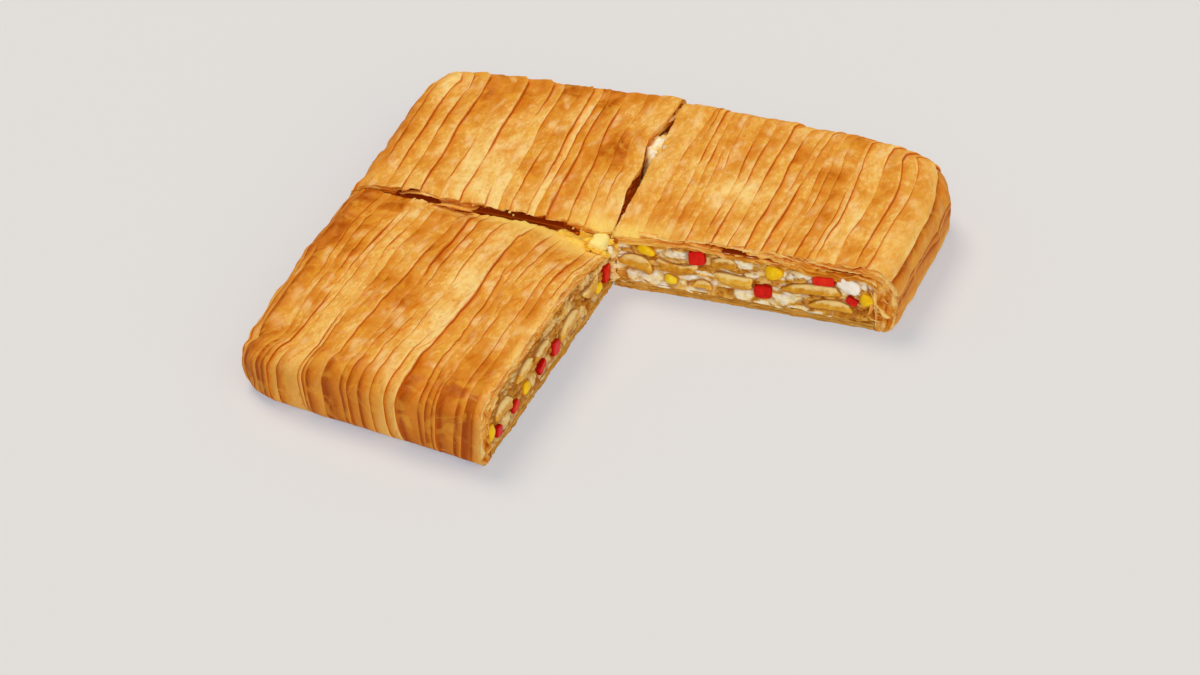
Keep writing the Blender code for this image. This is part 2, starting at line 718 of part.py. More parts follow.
def make_pieces(quarter, cut, pieces, finishes):
    """The pieces at one cut and, for the filling, the pockets that they sit in."""
    pockets = []
    counts = {}
    for kind, along, height, length, thickness, bend, tilt in pieces:
        counts[kind] = counts.get(kind, 0) + 1
        name = f"{quarter.name}_{kind}_{counts[kind]}"
        matrix = at_cut(quarter, cut, along, height, PIECE_INSET, tilt)
        mesh = filling_piece(kind, length, thickness, bend, name)
        trim_at_cut(mesh, PIECE_PROUD, PIECE_INSET)
        dress(placed(mesh, name, matrix), finishes[kind], FILLING_ANGLE)
        pocket = filling_piece(kind, length, thickness, bend, name, POCKET_GAP)
        pockets.append(placed(pocket, f"{name}_pocket", matrix))
    return pockets


def make_lumps(quarter, cut, lumps):
    """Lumps of cream sauce that stand on the filling's cut face."""
    made = []
    for along, height, length, thickness in lumps:
        name = f"{quarter.name}_cream_{len(made)}"
        mesh = bean(length, CREAM_DEPTH, thickness, 0.0, name, sides=7)
        matrix = at_cut(quarter, cut, along, height, CREAM_DEPTH / 2 - PIECE_PROUD)
        made.append(placed(mesh, name, matrix))
    return made


def make_gaps(quarter, cut, gaps):
    """Slits between the sheets of the top crust, where they have come apart at a cut."""
    made = []
    for along, height, length, width, bend, tilt in gaps:
        name = f"{quarter.name}_{cut}_gap_{len(made)}"
        mesh = bean(length, GAP_DEPTH, width, bend, name, sides=6)
        made.append(placed(mesh, name, at_cut(quarter, cut, along, height, 0.0, tilt)))
    return made


def move_to_footprint_middle(parts):
    """Put the middle of the whole's footprint at the origin, on the floor."""
    bpy.context.view_layer.update()
    corners = [part.matrix_world @ Vector(c) for part in parts for c in part.bound_box]
    low = Vector([min(c[i] for c in corners) for i in range(3)])
    high = Vector([max(c[i] for c in corners) for i in range(3)])
    middle = (low + high) / 2
    shift = Matrix.Translation((-middle.x, -middle.y, -low.z))
    for part in parts:
        part.data.transform(shift)


def main():
    for leftover in list(bpy.data.objects):
        bpy.data.objects.remove(leftover)

    finishes = {
        "crust": material("golden_crust", CRUST_COLOUR, 0.42),
        "base": material("bottom_crust", BASE_COLOUR, 0.60),
        "filling": material("creamy_filling", FILLING_COLOUR, 0.45),
        "mushroom": material("cooked_mushroom", MUSHROOM_COLOUR, 0.38),
        "pepper": material("red_pepper", PEPPER_COLOUR, 0.25),
        "sweetcorn": material("sweetcorn", SWEETCORN_COLOUR, 0.28),
        "cheese": material("white_cheese", CHEESE_COLOUR, 0.50),
        "melted": material("melted_cheese", MELTED_COLOUR, 0.35),
    }
    back_left, back_right, front_left = QUARTERS
    shown = (
        (back_left, "side", BACK_LEFT_PIECES, BACK_LEFT_CREAM, "cross", BACK_LEFT_CROSS_GAPS),
        (back_right, "cross", BACK_RIGHT_PIECES, BACK_RIGHT_CREAM, "cross", BACK_RIGHT_GAPS),
        (front_left, "side", FRONT_LEFT_PIECES, FRONT_LEFT_CREAM, "side", FRONT_LEFT_GAPS),
    )
    for quarter, cut, pieces, lumps, gap_cut, gaps in shown:
        crust = top_crust(quarter)
        # The crust's rim has triangles too thin for the exact solver
        combine(crust, "DIFFERENCE", make_gaps(quarter, gap_cut, gaps), solver="MANIFOLD")
        dress(crust, finishes["crust"], CRUST_ANGLE)
        filling = solid_quarter(quarter, FILLING, LINING_ROWS, f"{quarter.name}_filling")
        combine(filling, "UNION", make_lumps(quarter, cut, lumps))
        combine(filling, "DIFFERENCE", make_pieces(quarter, cut, pieces, finishes))
        dress(filling, finishes["filling"], FILLING_ANGLE)
        base = solid_quarter(quarter, BASE, BASE_ROWS, f"{quarter.name}_crust_bottom")
        dress(base, finishes["base"])

    size = (MELTED_WIDTH, MELTED_LENGTH, MELTED_THICKNESS)
    spot = Matrix.Translation(Vector(lay_out(front_left, *MELTED_INSET, MELTED_HEIGHT)))
    melted = placed(bean(*size, 0.0, "melted"), "front_left_melted_cheese", spot)
    dress(melted, finishes["melted"], MELTED_ANGLE)
    size = tuple(side + 2 * FIT_GAP for side in size)
    seat = placed(bean(*size, 0.0, "melted"), "melted_seat", spot)
    combine(bpy.data.objects["front_left_crust_top"], "DIFFERENCE", [seat], solver="MANIFOLD")

    move_to_footprint_middle(list(bpy.context.scene.collection.objects))


main()
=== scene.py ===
# %% [markdown]
# A baked pie of pleated phyllo, cut into quarters, of which three still lie together.
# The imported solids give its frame: each quarter's top crust, filling and bottom crust, and the
# larger pieces of mushroom, pepper and sweetcorn at the cuts. This lesson dresses them. It makes
# the skins again from the same measures, far finer, and gives every one a baked finish.

# %% Load the solids
import math
import random
from dataclasses import dataclass

import bmesh
import bpy
import numpy as np
from mathutils import Matrix, Vector


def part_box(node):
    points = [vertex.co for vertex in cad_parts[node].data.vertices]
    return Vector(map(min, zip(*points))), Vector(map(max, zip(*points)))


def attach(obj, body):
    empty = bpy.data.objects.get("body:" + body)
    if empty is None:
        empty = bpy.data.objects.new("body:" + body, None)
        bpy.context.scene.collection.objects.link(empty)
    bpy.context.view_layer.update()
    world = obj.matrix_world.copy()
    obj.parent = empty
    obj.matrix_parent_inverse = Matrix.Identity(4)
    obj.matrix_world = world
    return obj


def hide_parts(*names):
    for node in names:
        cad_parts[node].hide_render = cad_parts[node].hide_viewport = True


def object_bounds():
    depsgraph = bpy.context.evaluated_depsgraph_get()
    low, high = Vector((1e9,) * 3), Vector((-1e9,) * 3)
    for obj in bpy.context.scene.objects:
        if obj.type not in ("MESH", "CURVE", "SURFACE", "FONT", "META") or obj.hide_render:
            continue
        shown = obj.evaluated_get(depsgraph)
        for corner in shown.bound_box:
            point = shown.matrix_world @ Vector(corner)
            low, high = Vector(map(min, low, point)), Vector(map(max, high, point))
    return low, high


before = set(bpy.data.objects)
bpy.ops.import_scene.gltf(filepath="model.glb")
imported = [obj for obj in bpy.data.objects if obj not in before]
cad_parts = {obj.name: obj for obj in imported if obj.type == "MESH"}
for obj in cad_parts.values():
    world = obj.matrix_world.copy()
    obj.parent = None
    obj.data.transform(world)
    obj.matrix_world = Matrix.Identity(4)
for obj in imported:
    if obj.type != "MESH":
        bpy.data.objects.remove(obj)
cad_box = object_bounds()
print("The solids' box:", [[round(value, 4) for value in corner] for corner in cad_box])

# %% [markdown]
# The measures are the solids' own, in metres: how far each quarter reaches from the two cuts, how
# high the crust stands, and how thick its layers are. Both cuts cross at one point. The solids
# tell where that is, because each bottom crust starts half a gap away from it.

# %% The pie's measures
MM = 0.001
REACH_LEFT = 0.137
REACH_RIGHT = 0.140
REACH_BACK_LEFT = 0.137
REACH_BACK_RIGHT = 0.1345
REACH_FRONT = 0.1605
CRUST_HEIGHT = 0.0332
FIT_GAP = 0.0003
TOP_CRUST = 0.0045
SIDE_CRUST = 0.0095
BOTTOM_CRUST = 0.0045
CUT_GAP = 0.0005
CRUST_CEILING = cad_box[1][2]

crossing = np.array(
    [
        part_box("front_left_crust_bottom")[1].x + CUT_GAP,
        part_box("back_right_crust_bottom")[0].y - CUT_GAP,
        0.0,
    ]
)
print("The cuts cross at", crossing.round(4))

# %% [markdown]
# A quarter is a square that oven and knife have pulled about. Its record holds its side of each
# cut, its reach, how its corner strays, how wide its pleats are, where its top sags and where the
# cut stands open. The last fields say how it baked: spots that took more colour, spots that stayed
# pale, and spots where butter and cheese came through. A spot is its distance from the side cut
# and from the cross cut, its spread both ways, and its strength.


# %% The quarters
@dataclass
class Quarter:
    """One quarter of the pie, with what hands, oven and knife did to it."""

    name: str
    side_x: int
    side_y: int
    reach_x: float
    reach_y: float
    lean: float
    corner: tuple
    corner_power: float
    pleat_widths: tuple
    slant: float
    seed: int
    sags: tuple
    side_opening: tuple = ()
    cross_opening: tuple = ()
    wander: float = 0.8 * MM  # how far the pleats swing from side to side
    firm: float = 0.55  # how much of its height a fold keeps where it is weakest
    fine: float = 0.5  # the chance that a wide strip holds a finer crease
    pinched: float = 0.5  # how strong the slanting creases are
    pinch_slope: float = 0.1
    raised: tuple = ()  # puffed-up places, in millimetres
    calm: tuple = ()  # places where the folds die away
    fold_shade: float = 0.5  # how much painted shade darkens the walls beside each fold
    browned: tuple = ()
    pale: tuple = ()
    buttered: tuple = ()


@dataclass
class Layer:
    """One skin of a quarter: how far in its wall stands, its height and how its edges round."""

    wall: float
    height: float
    top_radius: float
    foot_radius: float
    base: float = 0.0
    recess: float = 0.0
    swell: float = 0.0
    corner_ease: float = 1.0


OUTER_SKIN = Layer(0.0, CRUST_HEIGHT, 0.012, 0.006, swell=0.0012)
LINING = Layer(SIDE_CRUST, CRUST_HEIGHT - TOP_CRUST, 0.007, 0.0, recess=0.0018)
FILLING = Layer(
    SIDE_CRUST + FIT_GAP,
    CRUST_HEIGHT - TOP_CRUST - FIT_GAP,
    0.007,
    0.0,
    base=BOTTOM_CRUST + FIT_GAP,
    recess=0.0010,
    corner_ease=0.85,
)
BASE = Layer(SIDE_CRUST + FIT_GAP, BOTTOM_CRUST, 0.0006, 0.0, corner_ease=0.75)

# %% [markdown]
# Each quarter's strips are counted from left to right and differ in width, since they were
# gathered by hand. The front left quarter has by far the most fine creases, so its main folds are
# weak and its slanting creases strong.

# %% The three quarters
BACK_LEFT = Quarter(
    name="back_left",
    side_x=-1,
    side_y=1,
    reach_x=REACH_LEFT,
    reach_y=REACH_BACK_LEFT,
    lean=-0.0064,
    corner=(-0.007, -0.005),
    corner_power=14,
    pleat_widths=(
        *(0.0095, 0.0065, 0.0085, 0.0105, 0.0095, 0.0095, 0.0125, 0.0125, 0.0100),
        *(0.0110, 0.0090, 0.0080, 0.0090, 0.0110, 0.0090, 0.0120, 0.0104),
    ),
    slant=0.0045,
    seed=4,
    sags=((0.0, 0.0, 0.025, 0.025, 0.004), (0.055, 0.0, 0.04, 0.006, 0.0015)),
    side_opening=((0.085, 0.022, 0.0055), (0.038, 0.014, 0.0024)),
    cross_opening=((0.060, 0.030, 0.0012), (0.100, 0.010, 0.0015)),
    raised=((0.100, 0.003, 0.012, 0.010, 1.6), (0.006, 0.122, 0.008, 0.010, 1.8)),
    calm=((0.020, 0.066, 0.014, 0.016, 0.7), (0.112, 0.108, 0.016, 0.012, 0.8)),
    wander=0.25 * MM,
    fine=0.3,
    pinched=0.45,
    pinch_slope=0.06,
    browned=(
        (0.016, 0.072, 0.010, 0.022, 0.50),
        (0.085, 0.108, 0.034, 0.022, 0.24),
        (0.040, 0.125, 0.040, 0.012, 0.22),
        (0.128, 0.060, 0.010, 0.050, 0.26),
    ),
    pale=(
        (0.055, 0.016, 0.045, 0.020, 0.26),
        (0.120, 0.112, 0.012, 0.016, 0.34),
        (0.088, 0.040, 0.010, 0.016, 0.20),
        (0.045, 0.095, 0.008, 0.012, 0.22),
    ),
    buttered=((0.006, 0.004, 0.014, 0.006, 0.9),),
)
BACK_RIGHT = Quarter(
    name="back_right",
    side_x=1,
    side_y=1,
    reach_x=REACH_RIGHT,
    reach_y=REACH_BACK_RIGHT,
    lean=-0.0064,
    corner=(0.0075, -0.0110),
    corner_power=6.5,
    pleat_widths=(
        *(0.0130, 0.0100, 0.0040, 0.0085, 0.0120, 0.0080, 0.0075, 0.0085, 0.0070),
        *(0.0090, 0.0095, 0.0090, 0.0090, 0.0060, 0.0150, 0.0105, 0.0090, 0.0158),
    ),
    slant=-0.0010,
    seed=11,
    sags=((0.0, 0.0, 0.030, 0.025, 0.005), (0.0, 0.085, 0.006, 0.030, 0.003)),
    side_opening=((0.040, 0.016, 0.0012),),
    calm=(
        (0.046, 0.050, 0.014, 0.022, 0.9),
        (0.010, 0.070, 0.008, 0.030, 0.6),
        (0.075, 0.095, 0.014, 0.014, 0.6),
        (0.128, 0.040, 0.010, 0.030, 0.6),
    ),
    wander=0.3 * MM,
    fine=0.3,
    firm=0.35,
    fold_shade=0.75,
    pinched=0.45,
    pinch_slope=0.06,
    browned=(
        (0.050, 0.100, 0.025, 0.018, 0.20),
        (0.030, 0.020, 0.018, 0.012, 0.15),
    ),
    pale=(
        (0.045, 0.050, 0.018, 0.018, 0.25),
        (0.100, 0.030, 0.030, 0.020, 0.12),
        (0.146, 0.060, 0.012, 0.080, 0.16),
    ),
    buttered=((0.010, 0.003, 0.020, 0.008, 1.0),),
)
FRONT_LEFT = Quarter(
    name="front_left",
    side_x=-1,
    side_y=-1,
    reach_x=REACH_LEFT,
    reach_y=REACH_FRONT,
    lean=-0.0043,
    corner=(-0.0010, 0.0205),
    corner_power=13,
    pleat_widths=(
        *(0.0085, 0.0125, 0.0080, 0.0100, 0.0130, 0.0100, 0.0050, 0.0135, 0.0110),
        *(0.0095, 0.0110, 0.0150, 0.0110, 0.0100, 0.0110, 0.0094),
    ),
    slant=0.0010,
    seed=23,
    sags=(
        (0.0, 0.0, 0.030, 0.032, 0.011),
        (0.065, 0.0, 0.045, 0.009, 0.005),
        (0.140, 0.140, 0.035, 0.055, 0.010),
    ),
    cross_opening=((0.070, 0.040, 0.0010),),
    calm=(
        (0.134, 0.060, 0.014, 0.090, 1.0),
        (0.025, 0.000, 0.045, 0.014, 1.0),
        (0.090, 0.000, 0.030, 0.010, 0.7),
        (0.050, 0.120, 0.016, 0.020, 0.5),
    ),
    fold_shade=1.0,
    wander=1.8 * MM,
    firm=0.12,
    fine=0.9,
    pinched=1.1,
    pinch_slope=-0.36,
    browned=(
        (0.128, 0.040, 0.014, 0.045, 0.35),
        (0.100, 0.012, 0.030, 0.010, 0.25),
        (0.012, 0.145, 0.020, 0.020, 0.25),
        (0.078, 0.082, 0.010, 0.012, 0.22),
    ),
    pale=((0.045, 0.115, 0.018, 0.022, 0.25), (0.050, 0.065, 0.014, 0.014, 0.22)),
    buttered=(
        (0.010, 0.006, 0.026, 0.012, 1.0),
        (0.050, 0.002, 0.026, 0.006, 0.75),
    ),
)
QUARTERS = (BACK_LEFT, BACK_RIGHT, FRONT_LEFT)

# %% [markdown]
# The skins are laid out as a baker would lay a sheet over a block. A sheet is a unit square: 0 at
# the cuts, 1 where it meets the floor. Its flat top, its rounded edge, its wall and its foot follow
# one another at fixed shares, so that every layer's lines lie over one another. Distances from the
# two cuts then become places in the room, with the lean and the open places of the cuts.

# %% Laying a sheet over a quarter
FLAT_SHARE = 0.725
EDGE_SHARE = 0.855
WALL_SHARE = 0.935
SHARES = (0.0, FLAT_SHARE, EDGE_SHARE, WALL_SHARE, 1.0)
PLAIN_SHARES = (0.0, FLAT_SHARE, EDGE_SHARE, 1.0, 1.0)
ROUNDING_SPAN = (0.5, 0.85)
TINY = 1e-9
GAP_FADE = 5  # how soon an open cut's bend dies away in the quarter


def smoothstep(low, high, value):
    """0 below the low value, 1 above the high one, and smooth between them."""
    share = np.clip((value - low) / (high - low), 0.0, 1.0)
    return share * share * (3.0 - 2.0 * share)


def bump(value, middle, spread):
    """1 at the middle, and next to nothing two spreads away."""
    return np.exp(-(((value - middle) / spread) ** 2))


def spots(places, a, b):
    """The sum of a quarter's spots at any place."""
    total = 0.0 * a
    for from_side, from_cross, spread_a, spread_b, most in places:
        total = total + most * bump(a, from_side, spread_a) * bump(b, from_cross, spread_b)
    return total


def bends(layer, reach):
    """How far along a sheet its flat top, its edge, its wall and its foot end."""
    flat = reach - layer.wall - layer.top_radius
    edge = flat + math.pi / 2 * layer.top_radius
    wall = edge + layer.height - layer.base - layer.top_radius - layer.foot_radius
    return np.array([0.0, flat, edge, wall, wall + math.pi / 2 * layer.foot_radius])


def over_the_edge(distance, reach, layer):
    """How far out and how high a sheet is, and its normal, after a distance from the cut."""
    top = layer.top_radius
    foot = max(layer.foot_radius, TINY)
    flat = reach - top
    side = layer.height - layer.base - top - foot
    turn = np.clip((distance - flat) / top, 0.0, math.pi / 2)
    down = np.clip(distance - flat - top * math.pi / 2, 0.0, side)
    tuck = np.clip((distance - flat - top * math.pi / 2 - side) / foot, 0.0, math.pi / 2)
    out = np.minimum(distance, flat) + top * np.sin(turn) - foot * (1.0 - np.cos(tuck))
    height = layer.height - top * (1.0 - np.cos(turn)) - down - foot * np.sin(tuck)
    return out, height, np.sin(turn) * np.cos(tuck), np.cos(turn) - np.sin(tuck)


def opening(places, along):
    """How wide a cut's own half is."""
    width = CUT_GAP + 0.0 * along
    for middle, spread, most in places:
        width = width + most * bump(along, middle, spread)
    return width


def lay_out(quarter, a, b, z, recess=0.0):
    """Places in the room of points given by their distances from the side cut and the cross cut."""
    u = a / quarter.reach_x
    v = b / quarter.reach_y
    side_gap = opening(quarter.side_opening, b) + recess
    cross_gap = opening(quarter.cross_opening, a) + recess
    out_x = a + side_gap * np.clip(1.0 - u, 0.0, 1.0) ** GAP_FADE
    out_y = b + cross_gap * np.clip(1.0 - v, 0.0, 1.0) ** GAP_FADE
    x = quarter.side_x * out_x + quarter.lean * v * (1.0 - u) + quarter.corner[0] * u * v
    y = quarter.side_y * out_y + quarter.corner[1] * u * v
    return np.stack([x, y, z + 0.0 * x], axis=-1) + crossing


def sag(quarter, a, b):
    """How far the crust has sunk."""
    return spots(quarter.sags, a, b)


def skin_parts(quarter, layer, across, along, lift=0.0):
    """Distances from the two cuts and heights of a sheet's points, which rise by the lift."""
    ring = np.maximum(across, along)
    toward_y = along**2 / (across**2 + along**2 + TINY)
    reach_x = quarter.reach_x - layer.wall
    reach_y = quarter.reach_y - layer.wall
    reach = reach_x + (reach_y - reach_x) * toward_y
    shares = SHARES if layer.foot_radius > 0 else PLAIN_SHARES
    distance = np.interp(ring, shares, bends(layer, quarter.reach_x)) * (1.0 - toward_y)
    distance = distance + np.interp(ring, shares, bends(layer, quarter.reach_y)) * toward_y
    out, height, part_out, part_up = over_the_edge(distance, reach, layer)

    power = quarter.corner_power * layer.corner_ease
    rounded = (across**power + along**power) ** (1.0 / power)
    share = smoothstep(*ROUNDING_SPAN, ring)
    scale = (1.0 - share) / np.maximum(ring, TINY) + share / np.maximum(rounded, TINY)
    normal_x = across ** (power - 1)
    normal_y = along ** (power - 1)
    normal = np.hypot(normal_x, normal_y) + TINY
    swell = layer.swell * np.sin(math.pi * np.clip(height / layer.height, 0.0, 1.0))
    push = (lift + swell) * part_out
    a = across * scale * out / reach * reach_x + push * normal_x / normal
    b = along * scale * out / reach * reach_y + push * normal_y / normal
    rise = np.where(ring < 1.0, lift * np.maximum(part_up, 0.0), 0.0)
    share_up = np.clip((height - BOTTOM_CRUST) / (CRUST_HEIGHT - BOTTOM_CRUST), 0.0, 1.0)
    z = np.maximum(height - sag(quarter, a, b) * share_up + rise, layer.base)
    z = np.where(ring < 1.0, z, layer.base)
    return a, b, np.minimum(z, CRUST_CEILING)


def skin(quarter, layer, across, along, lift=0.0):
    """A sheet's points in the room."""
    a, b, z = skin_parts(quarter, layer, across, along, lift)
    return lay_out(quarter, a, b, z, layer.recess)


# %% [markdown]
# Nothing on a pie is even, so most sizes below are stirred by noise. This one is value noise: a
# table of random numbers, blended smoothly between its cells. It is worked out for whole arrays at
# once. Stretched along the pleats it gives wrinkles, and in round cells it gives blisters. A place
# is divided by the size of the lumps, so noise(x / 5.0, y / 42.0, seed) has lumps of 5 by 42
# millimetres, and each use adds its own number to the seed, so that no two patterns match.

# %% Noise over a sheet
NOISE_CELLS = 128


def noise(x, y, seed):
    """Smooth noise from -1 to 1, with one lump to a unit."""
    table = np.random.default_rng(seed).uniform(-1.0, 1.0, (NOISE_CELLS, NOISE_CELLS))
    column = np.floor(x).astype(int)
    row = np.floor(y).astype(int)
    part_x = smoothstep(0.0, 1.0, x - column)
    part_y = smoothstep(0.0, 1.0, y - row)
    left = column % NOISE_CELLS
    right = (column + 1) % NOISE_CELLS
    low = row % NOISE_CELLS
    high = (row + 1) % NOISE_CELLS
    below = table[low, left] * (1.0 - part_x) + table[low, right] * part_x
    above = table[high, left] * (1.0 - part_x) + table[high, right] * part_x
    return below * (1.0 - part_y) + above * part_y


def fractal(x, y, seed, octaves=3):
    """Noise with finer noise on it, each octave half as strong."""
    total = 0.0
    for octave in range(octaves):
        total = total + noise(x * 2**octave, y * 2**octave, seed + 17 * octave) / 2**octave
    return total / (2.0 - 0.5 ** (octaves - 1))


def blisters(x, y, seed):
    """Round bumps from 0 to 1, about one to four units of area."""
    return smoothstep(0.35, 0.95, noise(x, y, seed)) * smoothstep(-0.3, 0.6, noise(y, x, seed + 1))


# %% [markdown]
# A mesh is a list of points and a list of faces. These helpers make both from grids of points, and
# keep numbers on the points, such as how brown a place is, for the finishes to read.


# %% Meshes from grids
SHARP_ANGLE = 65  # faces that meet at more degrees than this keep a hard edge


def face_out(mesh):
    """Turn all faces outward."""
    work = bmesh.new()
    work.from_mesh(mesh)
    bmesh.ops.recalc_face_normals(work, faces=work.faces)
    work.to_mesh(mesh)
    work.free()


class Sheet:
    """Collects grids of points, their faces and the numbers kept on the points."""

    def __init__(self):
        self.points = []
        self.faces = []
        self.marks = []
        self.count = 0

    def grid(self, points, **values):
        """Add a grid with its faces and its marks, and return its points' numbers."""
        numbers = self.count + np.arange(points[..., 0].size).reshape(points.shape[:2])
        self.loose(points, **values)
        self.join(numbers)
        return numbers

    def loose(self, points, **values):
        """Add points without faces."""
        flat = points.reshape(-1, 3)
        self.points.append(flat)
        kept = {}
        for name, value in values.items():
            shape = points.shape if name == "flow" else points.shape[:-1]
            kept[name] = np.broadcast_to(value, shape).reshape(len(flat), -1)
        self.marks.append((len(flat), kept))
        first = self.count
        self.count += len(flat)
        return first

    def join(self, numbers):
        """Add the faces between the points of a grid of numbers."""
        corners = (numbers[:-1, :-1], numbers[1:, :-1], numbers[1:, 1:], numbers[:-1, 1:])
        self.faces += np.stack(corners, axis=-1).reshape(-1, 4).tolist()

    def rings(self, points, **values):
        """Add rows of points that close on themselves, and return their numbers."""
        first = self.loose(points, **values)
        numbers = first + np.arange(points[..., 0].size).reshape(points.shape[:2])
        self.join(np.hstack([numbers, numbers[:, :1]]))
        return numbers

    def cap(self, numbers):
        """Close an end with one face."""
        self.faces.append(numbers.tolist())

    def zip_up(self, first, first_places, second, second_places):
        """Fill the strip between two rows of points, each with its places along the strip."""
        i = 0
        j = 0
        while i < len(first) - 1 or j < len(second) - 1:
            next_i = first_places[i + 1] if i < len(first) - 1 else math.inf
            next_j = second_places[j + 1] if j < len(second) - 1 else math.inf
            if next_i <= next_j:
                self.faces.append([int(first[i]), int(first[i + 1]), int(second[j])])
                i += 1
            else:
                self.faces.append([int(first[i]), int(second[j + 1]), int(second[j])])
                j += 1

    def finish(self, name, material, slot, nodes=()):
        """Make the object, dress it, and let it stand for the solids that it replaces."""
        mesh = bpy.data.meshes.new(name)
        points = np.clip(np.concatenate(self.points), *cad_box)
        mesh.from_pydata(points.tolist(), [], self.faces)
        mesh.validate()
        face_out(mesh)
        for mark in sorted({key for _, kept in self.marks for key in kept}):
            wide = 3 if mark == "flow" else 1
            columns = [kept.get(mark, np.zeros((count, wide))) for count, kept in self.marks]
            kind = "FLOAT_VECTOR" if wide == 3 else "FLOAT"
            layer = mesh.attributes.new(mark, kind, "POINT")
            values = np.concatenate(columns).astype(np.float32).ravel()
            layer.data.foreach_set("vector" if wide == 3 else "value", values)
        mesh.shade_smooth()
        mesh.set_sharp_from_angle(angle=math.radians(SHARP_ANGLE))
        mesh.materials.append(material)
        made = bpy.data.objects.new(name, mesh)
        bpy.context.scene.collection.objects.link(made)
        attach(made, "root")
        if nodes:
            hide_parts(*nodes)
        low = points.min(axis=0)
        high = points.max(axis=0)
        size = ", ".join(f"{(b - a) / MM:.1f}" for a, b in zip(low, high))
        print(f"{name}: {len(mesh.polygons)} faces, {size} mm")
        return made


# %% [markdown]
# Finishes are shader trees. Wiring them by hand hides the idea, so a Wire stands for one output
# and takes part in sums: 1 - mask is a Math node.

# %% Shader sums
class Wire:
    """One output of a shader node, which can be used in a sum."""

    def __init__(self, finish, socket):
        self.finish = finish
        self.socket = socket

    def math(self, operation, *values):
        inputs = dict(enumerate(values))
        return self.finish.node("ShaderNodeMath", {"operation": operation}, inputs)

    def __add__(self, other):
        return self.math("ADD", self, other)

    def __radd__(self, other):
        return self.math("ADD", other, self)

    def __sub__(self, other):
        return self.math("SUBTRACT", self, other)

    def __rsub__(self, other):
        return self.math("SUBTRACT", other, self)

    def __mul__(self, other):
        return self.math("MULTIPLY", self, other)

    def __rmul__(self, other):
        return self.math("MULTIPLY", other, self)

    def held(self):
        """The same number, kept from 0 to 1."""
        return self.finish.node("ShaderNodeClamp", {}, {0: self})


# %% [markdown]
# A Finish is a material while it is being wired. Every node is made by one method. The shorter
# ones over it have plain names for what a finish is made of: marks that the mesh carries, speckles,
# ramps and blends. Colours are blended with mix, never with sums.

# %% Finishes
class Finish:
    """A material while it is being wired."""

    def __init__(self, name, roughness=0.45, **fixed):
        self.material = bpy.data.materials.new(name)
        self.material.use_nodes = True
        self.material.cycles.emission_sampling = "NONE"
        self.tree = self.material.node_tree
        self.shader = self.tree.nodes["Principled BSDF"]
        self.set(Roughness=roughness)
        for socket, value in fixed.items():
            self.shader.inputs[socket.replace("_", " ")].default_value = value

    def plug(self, socket, value):
        if isinstance(value, Wire):
            self.tree.links.new(value.socket, socket)
        else:
            socket.default_value = value

    def set(self, **values):
        for socket, value in values.items():
            self.plug(self.shader.inputs[socket.replace("_", " ")], value)

    def node(self, kind, settings, inputs, output=0):
        """Add a node: first its settings, then its inputs, and give back one of its outputs."""
        made = self.tree.nodes.new(kind)
        for key, value in settings.items():
            if key == "stops":
                while len(made.color_ramp.elements) < len(value):
                    made.color_ramp.elements.new(1.0)
                for stop, (place, colour) in zip(made.color_ramp.elements, value):
                    stop.position = place
                    stop.color = colour
            else:
                setattr(made, key, value)
        for key, value in inputs.items():
            self.plug(made.inputs[key], value)
        return Wire(self, made.outputs[output])

    def mark(self, name, output=2):
        """A number kept on the mesh, or with output 1 a place."""
        return self.node("ShaderNodeAttribute", {"attribute_name": name}, {}, output)

    def mix(self, factor, first, second):
        """The first colour where the factor is 0, and the second where it is 1."""
        inputs = {0: factor, 6: first, 7: second}
        return self.node("ShaderNodeMix", {"data_type": "RGBA"}, inputs, 2)

    def ramp(self, value, *stops):
        """Colours along a number, each stop with its place."""
        return self.node("ShaderNodeValToRGB", {"stops": stops}, {0: value})

    def remap(self, value, low, high):
        """0 where the value is low, 1 where it is high, and smooth between them."""
        settings = {"interpolation_type": "SMOOTHSTEP"}
        return self.node("ShaderNodeMapRange", settings, {0: value, 1: low, 2: high})

    def stretch(self, place, scale):
        """Places scaled three ways, so that speckles on them become streaks."""
        settings = {"vector_type": "POINT"}
        return self.node("ShaderNodeMapping", settings, {"Vector": place, "Scale": scale})

    def speckle(self, place, scale, detail=3.0, roughness=0.55, warp=0.0):
        """A smooth random number from about 0.3 to 0.7, larger scales for finer speckles."""
        inputs = {"Vector": place, "Scale": scale, "Detail": detail}
        inputs |= {"Roughness": roughness, "Distortion": warp}
        return self.node("ShaderNodeTexNoise", {}, inputs)

    def bumps(self, height, distance, strength=1.0):
        """Relief too fine for the mesh, as high as the distance."""
        inputs = {"Height": height, "Distance": distance, "Strength": strength}
        self.set(Normal=self.node("ShaderNodeBump", {}, inputs))


def shade(red, green, blue):
    """A colour as seen on a screen, from 0 to 255, turned into the light it stands for."""
    steps = [value / 255 for value in (red, green, blue)]
    return (*(s / 12.92 if s <= 0.04045 else ((s + 0.055) / 1.055) ** 2.4 for s in steps), 1.0)


# %% [markdown]
# Phyllo for such a pie isn't laid flat: the sheet is gathered by hand into knife pleats, which run
# from front to back and all fold the same way. Each strip starts deep under its neighbour's
# folded edge and climbs to a folded edge of its own. A shader could fake that with bump, but the
# folds catch the light and throw shadows, so here they are geometry. The main lines are those of
# the solids. Between them, finer creases start and die away, as they do in a sheet that was
# pinched unevenly.

# %% Where the folds run
PLEAT_RISE = (0.0009, 0.0018)
PLEAT_WAVES = 2.7
PLEAT_WAVE = 0.035
PLEAT_JITTER = 0.06
PLEAT_TURN = 0.15
PLEAT_FORKS = (0.0, 0.0, 0.0, 0.4, -0.4)
FORK_SPAN = (0.2, 0.9)
SLANT_ENDS = (2, 4)
RISE_LOST = 0.62
FINE_WIDTH = 7.5 * MM  # a strip at least this wide may hold a finer crease
FINE_RISE = (0.35, 0.75)  # share of the strip's own rise
FINE_END = 0.10  # how softly a finer crease starts and ends, along the strip


